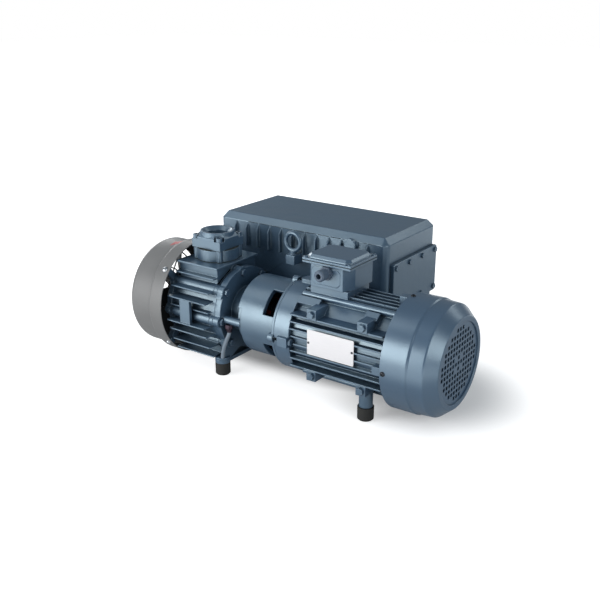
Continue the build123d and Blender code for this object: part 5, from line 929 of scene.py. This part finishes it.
hexScrews = hexScrewTree()
capScrews = socketScrewTree("capScrews", False)
domeScrews = socketScrewTree("domeScrews", True)
anyTurn = 6.28  # radians; a screw stops at any turn of its head


def screws(name, tree, spots, sizes, material):
    values = {label: size / 1000 for label, size in sizes.items()}
    values.update({"Loose Turn": anyTurn, "Seed": len(name), "Material": material})
    return grow(name, [s[0] for s in spots], tree, values, [s[1] for s in spots])


# Screw sizes in millimetres
m8Hex = {"Across Flats": 13.0, "Head Height": 4.9, "Washer Radius": 6.3, "Washer Thickness": 0.4}
m6Hex = {"Across Flats": 10.0, "Head Height": 3.7, "Washer Radius": 4.9, "Washer Thickness": 0.3}
m8Cap = {"Head Radius": 6.5, "Head Height": 8.0, "Socket Radius": 3.4, "Socket Depth": 4.0}
coverDome = {"Head Radius": 6.2, "Head Height": 4.6, "Socket Radius": 2.3, "Socket Depth": 2.2}
panDome = {"Head Radius": 4.8, "Head Height": 3.0, "Socket Radius": 1.7, "Socket Depth": 1.6}
rivetDome = {"Head Radius": 2.3, "Head Height": 1.3, "Socket Radius": 0.9, "Socket Depth": 0.6}

# Rings of screws across the shaft: x, radius, count, first angle and the way that they face
flangeRings = (
    (80, 78, 8, 5, -1),  # fan side plate
    (222, 78, 8, 5, 1),  # drive side plate
    (281, 59, 4, 45, 1),  # lantern
    (395, 87, 4, 3, 1),  # drive shield
)
flangeSpots = [spot for ring in flangeRings for spot in ringOf(*ring)]
flangeSpots += gridOf((110, 190), (92.2,), (-30, 40), (0, -1, 0))  # towards the separator

# Every group of screws: tree, sizes, finish, the CAD node that it is shown for, and places in millimetres
screwGroups = {
    "flangeScrews": (hexScrews, m8Hex, "paintedScrewEnamel", "flange_screws", flangeSpots),
    "exhaustCoverScrews": (
        hexScrews, m6Hex, "paintedScrewEnamel", "exhaust_cover_screws",
        gridOf((497.3,), (129, 184, 238, 294), (101, 20), (1, 0, 0))),
    "padBolts": (
        hexScrews, m8Hex, "paintedScrewEnamel", "motor_pad_bolts",
        [spot for side in (-1, 1) for spot in gridOf((445, 552), (side * 88,), (60.5, -60.5), (0, side, 0))]),
    "inletScrews": (
        capScrews, m8Cap, "paintedScrewEnamel", "inlet_screws",
        gridOf((121.5, 182.5), (-30.5, 30.5), (140.0,), (0, 0, 1))),
    "fanCoverScrews": (
        domeScrews, coverDome, "zincPlate", "fan_cover_screws", skinOf(86.5, 119.8, (42, -41, 138, 221))),
    "panScrews": (
        domeScrews, panDome, "blackOxideSteel", "pan_screws",
        skinOf(606, 106.8, (-3, 87, 177, 267)) + gridOf((124, 176), (107.2,), (18,), (0, 1, 0))),
}
for name, (tree, sizes, finish, node, spots) in screwGroups.items():
    standFor(screws(name, tree, spots, sizes, paints[finish]), node)

lidSpots = gridOf((400.5, 495.5), (-40.7, 40.7), (151.0,), (0, 0, 1))
lidScrews = screws("lidScrews", domeScrews, lidSpots, panDome, paints["paintedScrewEnamel"])
joinTo(lidScrews, "terminal_box_lid")

rivetSpots = [(mm(438.5, -87.0, 5.0), (0, -1, 0)), (mm(532.0, -87.0, 8.0), (0, -1, 0))]
rivets = screws("plateRivets", domeScrews, rivetSpots, rivetDome, paints["blackOxideSteel"])
joinTo(rivets, "nameplate")

# Sizes in metres, and the millimetre along the shaft where the disc's face is
grilleSizes = {
    "Disc Radius": 0.0828, "Zone Radius": 0.066, "Hole": 0.0074, "Corner": 0.0014, "Pitch": 0.0107,
    "Thickness": 0.0016, "Material": paints["sheetEnamel"]}
grillePlace = 697.0
grille = grow("cowlGrille", [(0, 0, 0)], grilleTree(), grilleSizes)
shift(grille, mm(grillePlace - grilleSizes["Thickness"] * 1000, 0, 0))
standFor(grille, "cowl_grille")
print("screws, rivets and grille")

# Light coil spring under the valve plate: it rides with the body of the CAD spring
springSizes = {"turns": 4.0, "wire": 0.7, "turnSteps": 40, "wireSides": 10}


def coilTree():
    tree, given, ids = newGeometryTree("coilSpring", {
        "Coil Radius": "Float", "Height": "Float", "Turns": "Float", "Wire Radius": "Float", "Material": "Material"})
    radius = given["Coil Radius"]
    coil = addNode(tree, "GeometryNodeCurveSpiral", {
        "Resolution": springSizes["turnSteps"], "Rotations": given["Turns"], "Start Radius": radius,
        "End Radius": radius, "Height": given["Height"]})
    wire = addNode(tree, "GeometryNodeCurvePrimitiveCircle", {
        "Resolution": springSizes["wireSides"], "Radius": given["Wire Radius"]})
    swept = addNode(tree, "GeometryNodeCurveToMesh", {"Curve": coil, "Profile Curve": wire, "Fill Caps": True})
    closeTree(tree, given, swept)
    return tree, ids


def makeValveSpring():
    low, high = (Vector(corner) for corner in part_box("inlet_valve_spring"))
    wire = springSizes["wire"] / 1000
    values = {"Coil Radius": (high.x - low.x) / 2 - wire, "Height": high.z - low.z - 2 * wire,
              "Turns": springSizes["turns"], "Wire Radius": wire, "Material": paints["springSteel"]}
    spring = grow("valveSpring", [(0, 0, 0)], coilTree(), values)
    middle = (low + high) / 2
    shift(spring, Vector((middle.x, middle.y, low.z + wire)))
    standFor(spring, "inlet_valve_spring")
    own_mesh(spring)


makeValveSpring()
print("valve spring")

# Red rotation arrow printed on the fan cover: bent to the drum, with a slight helix
arrow = {"radius": 113.0, "film": 0.12, "from": (58.0, 101.0), "to": (44.0, 75.0), "shaftHalf": 3.0, "headHalf": 10.0,
         "headPart": 0.45, "tip": 0.05, "steps": 24}


def makeArrow():
    shape = bmesh.new()
    steps = arrow["steps"]
    strips = []
    for height in (0.0, arrow["film"]):
        rows = []
        for number in range(steps + 1):
            part = number / steps
            tail = 1 - arrow["headPart"]
            head = arrow["headHalf"] * (1 - part) / arrow["headPart"] + arrow["tip"]
            half = arrow["shaftHalf"] if part < tail else head
            x = arrow["from"][0] + (arrow["to"][0] - arrow["from"][0]) * part
            turn = math.radians(arrow["from"][1] + (arrow["to"][1] - arrow["from"][1]) * part)
            radius = arrow["radius"] + height
            rows.append([shape.verts.new(mm(x + side * half, -radius * math.cos(turn), radius * math.sin(turn)))
                         for side in (-1, 1)])
        strips.append(rows)
    low, high = strips
    for n in range(steps):
        for rows in (low, high):
            shape.faces.new((rows[n][0], rows[n][1], rows[n + 1][1], rows[n + 1][0]))
        for side in (0, 1):
            shape.faces.new((low[n][side], low[n + 1][side], high[n + 1][side], high[n][side]))
    for n in (0, steps):
        shape.faces.new((low[n][0], low[n][1], high[n][1], high[n][0]))
    bmesh.ops.recalc_face_normals(shape, faces=shape.faces)
    mesh = meshOf("rotationArrow", shape)
    mesh.materials.append(paints["redScreenPrint"])
    joinTo(newPiece("rotationArrow", mesh), "pump_fan_cover")


makeArrow()
print("rotation arrow")
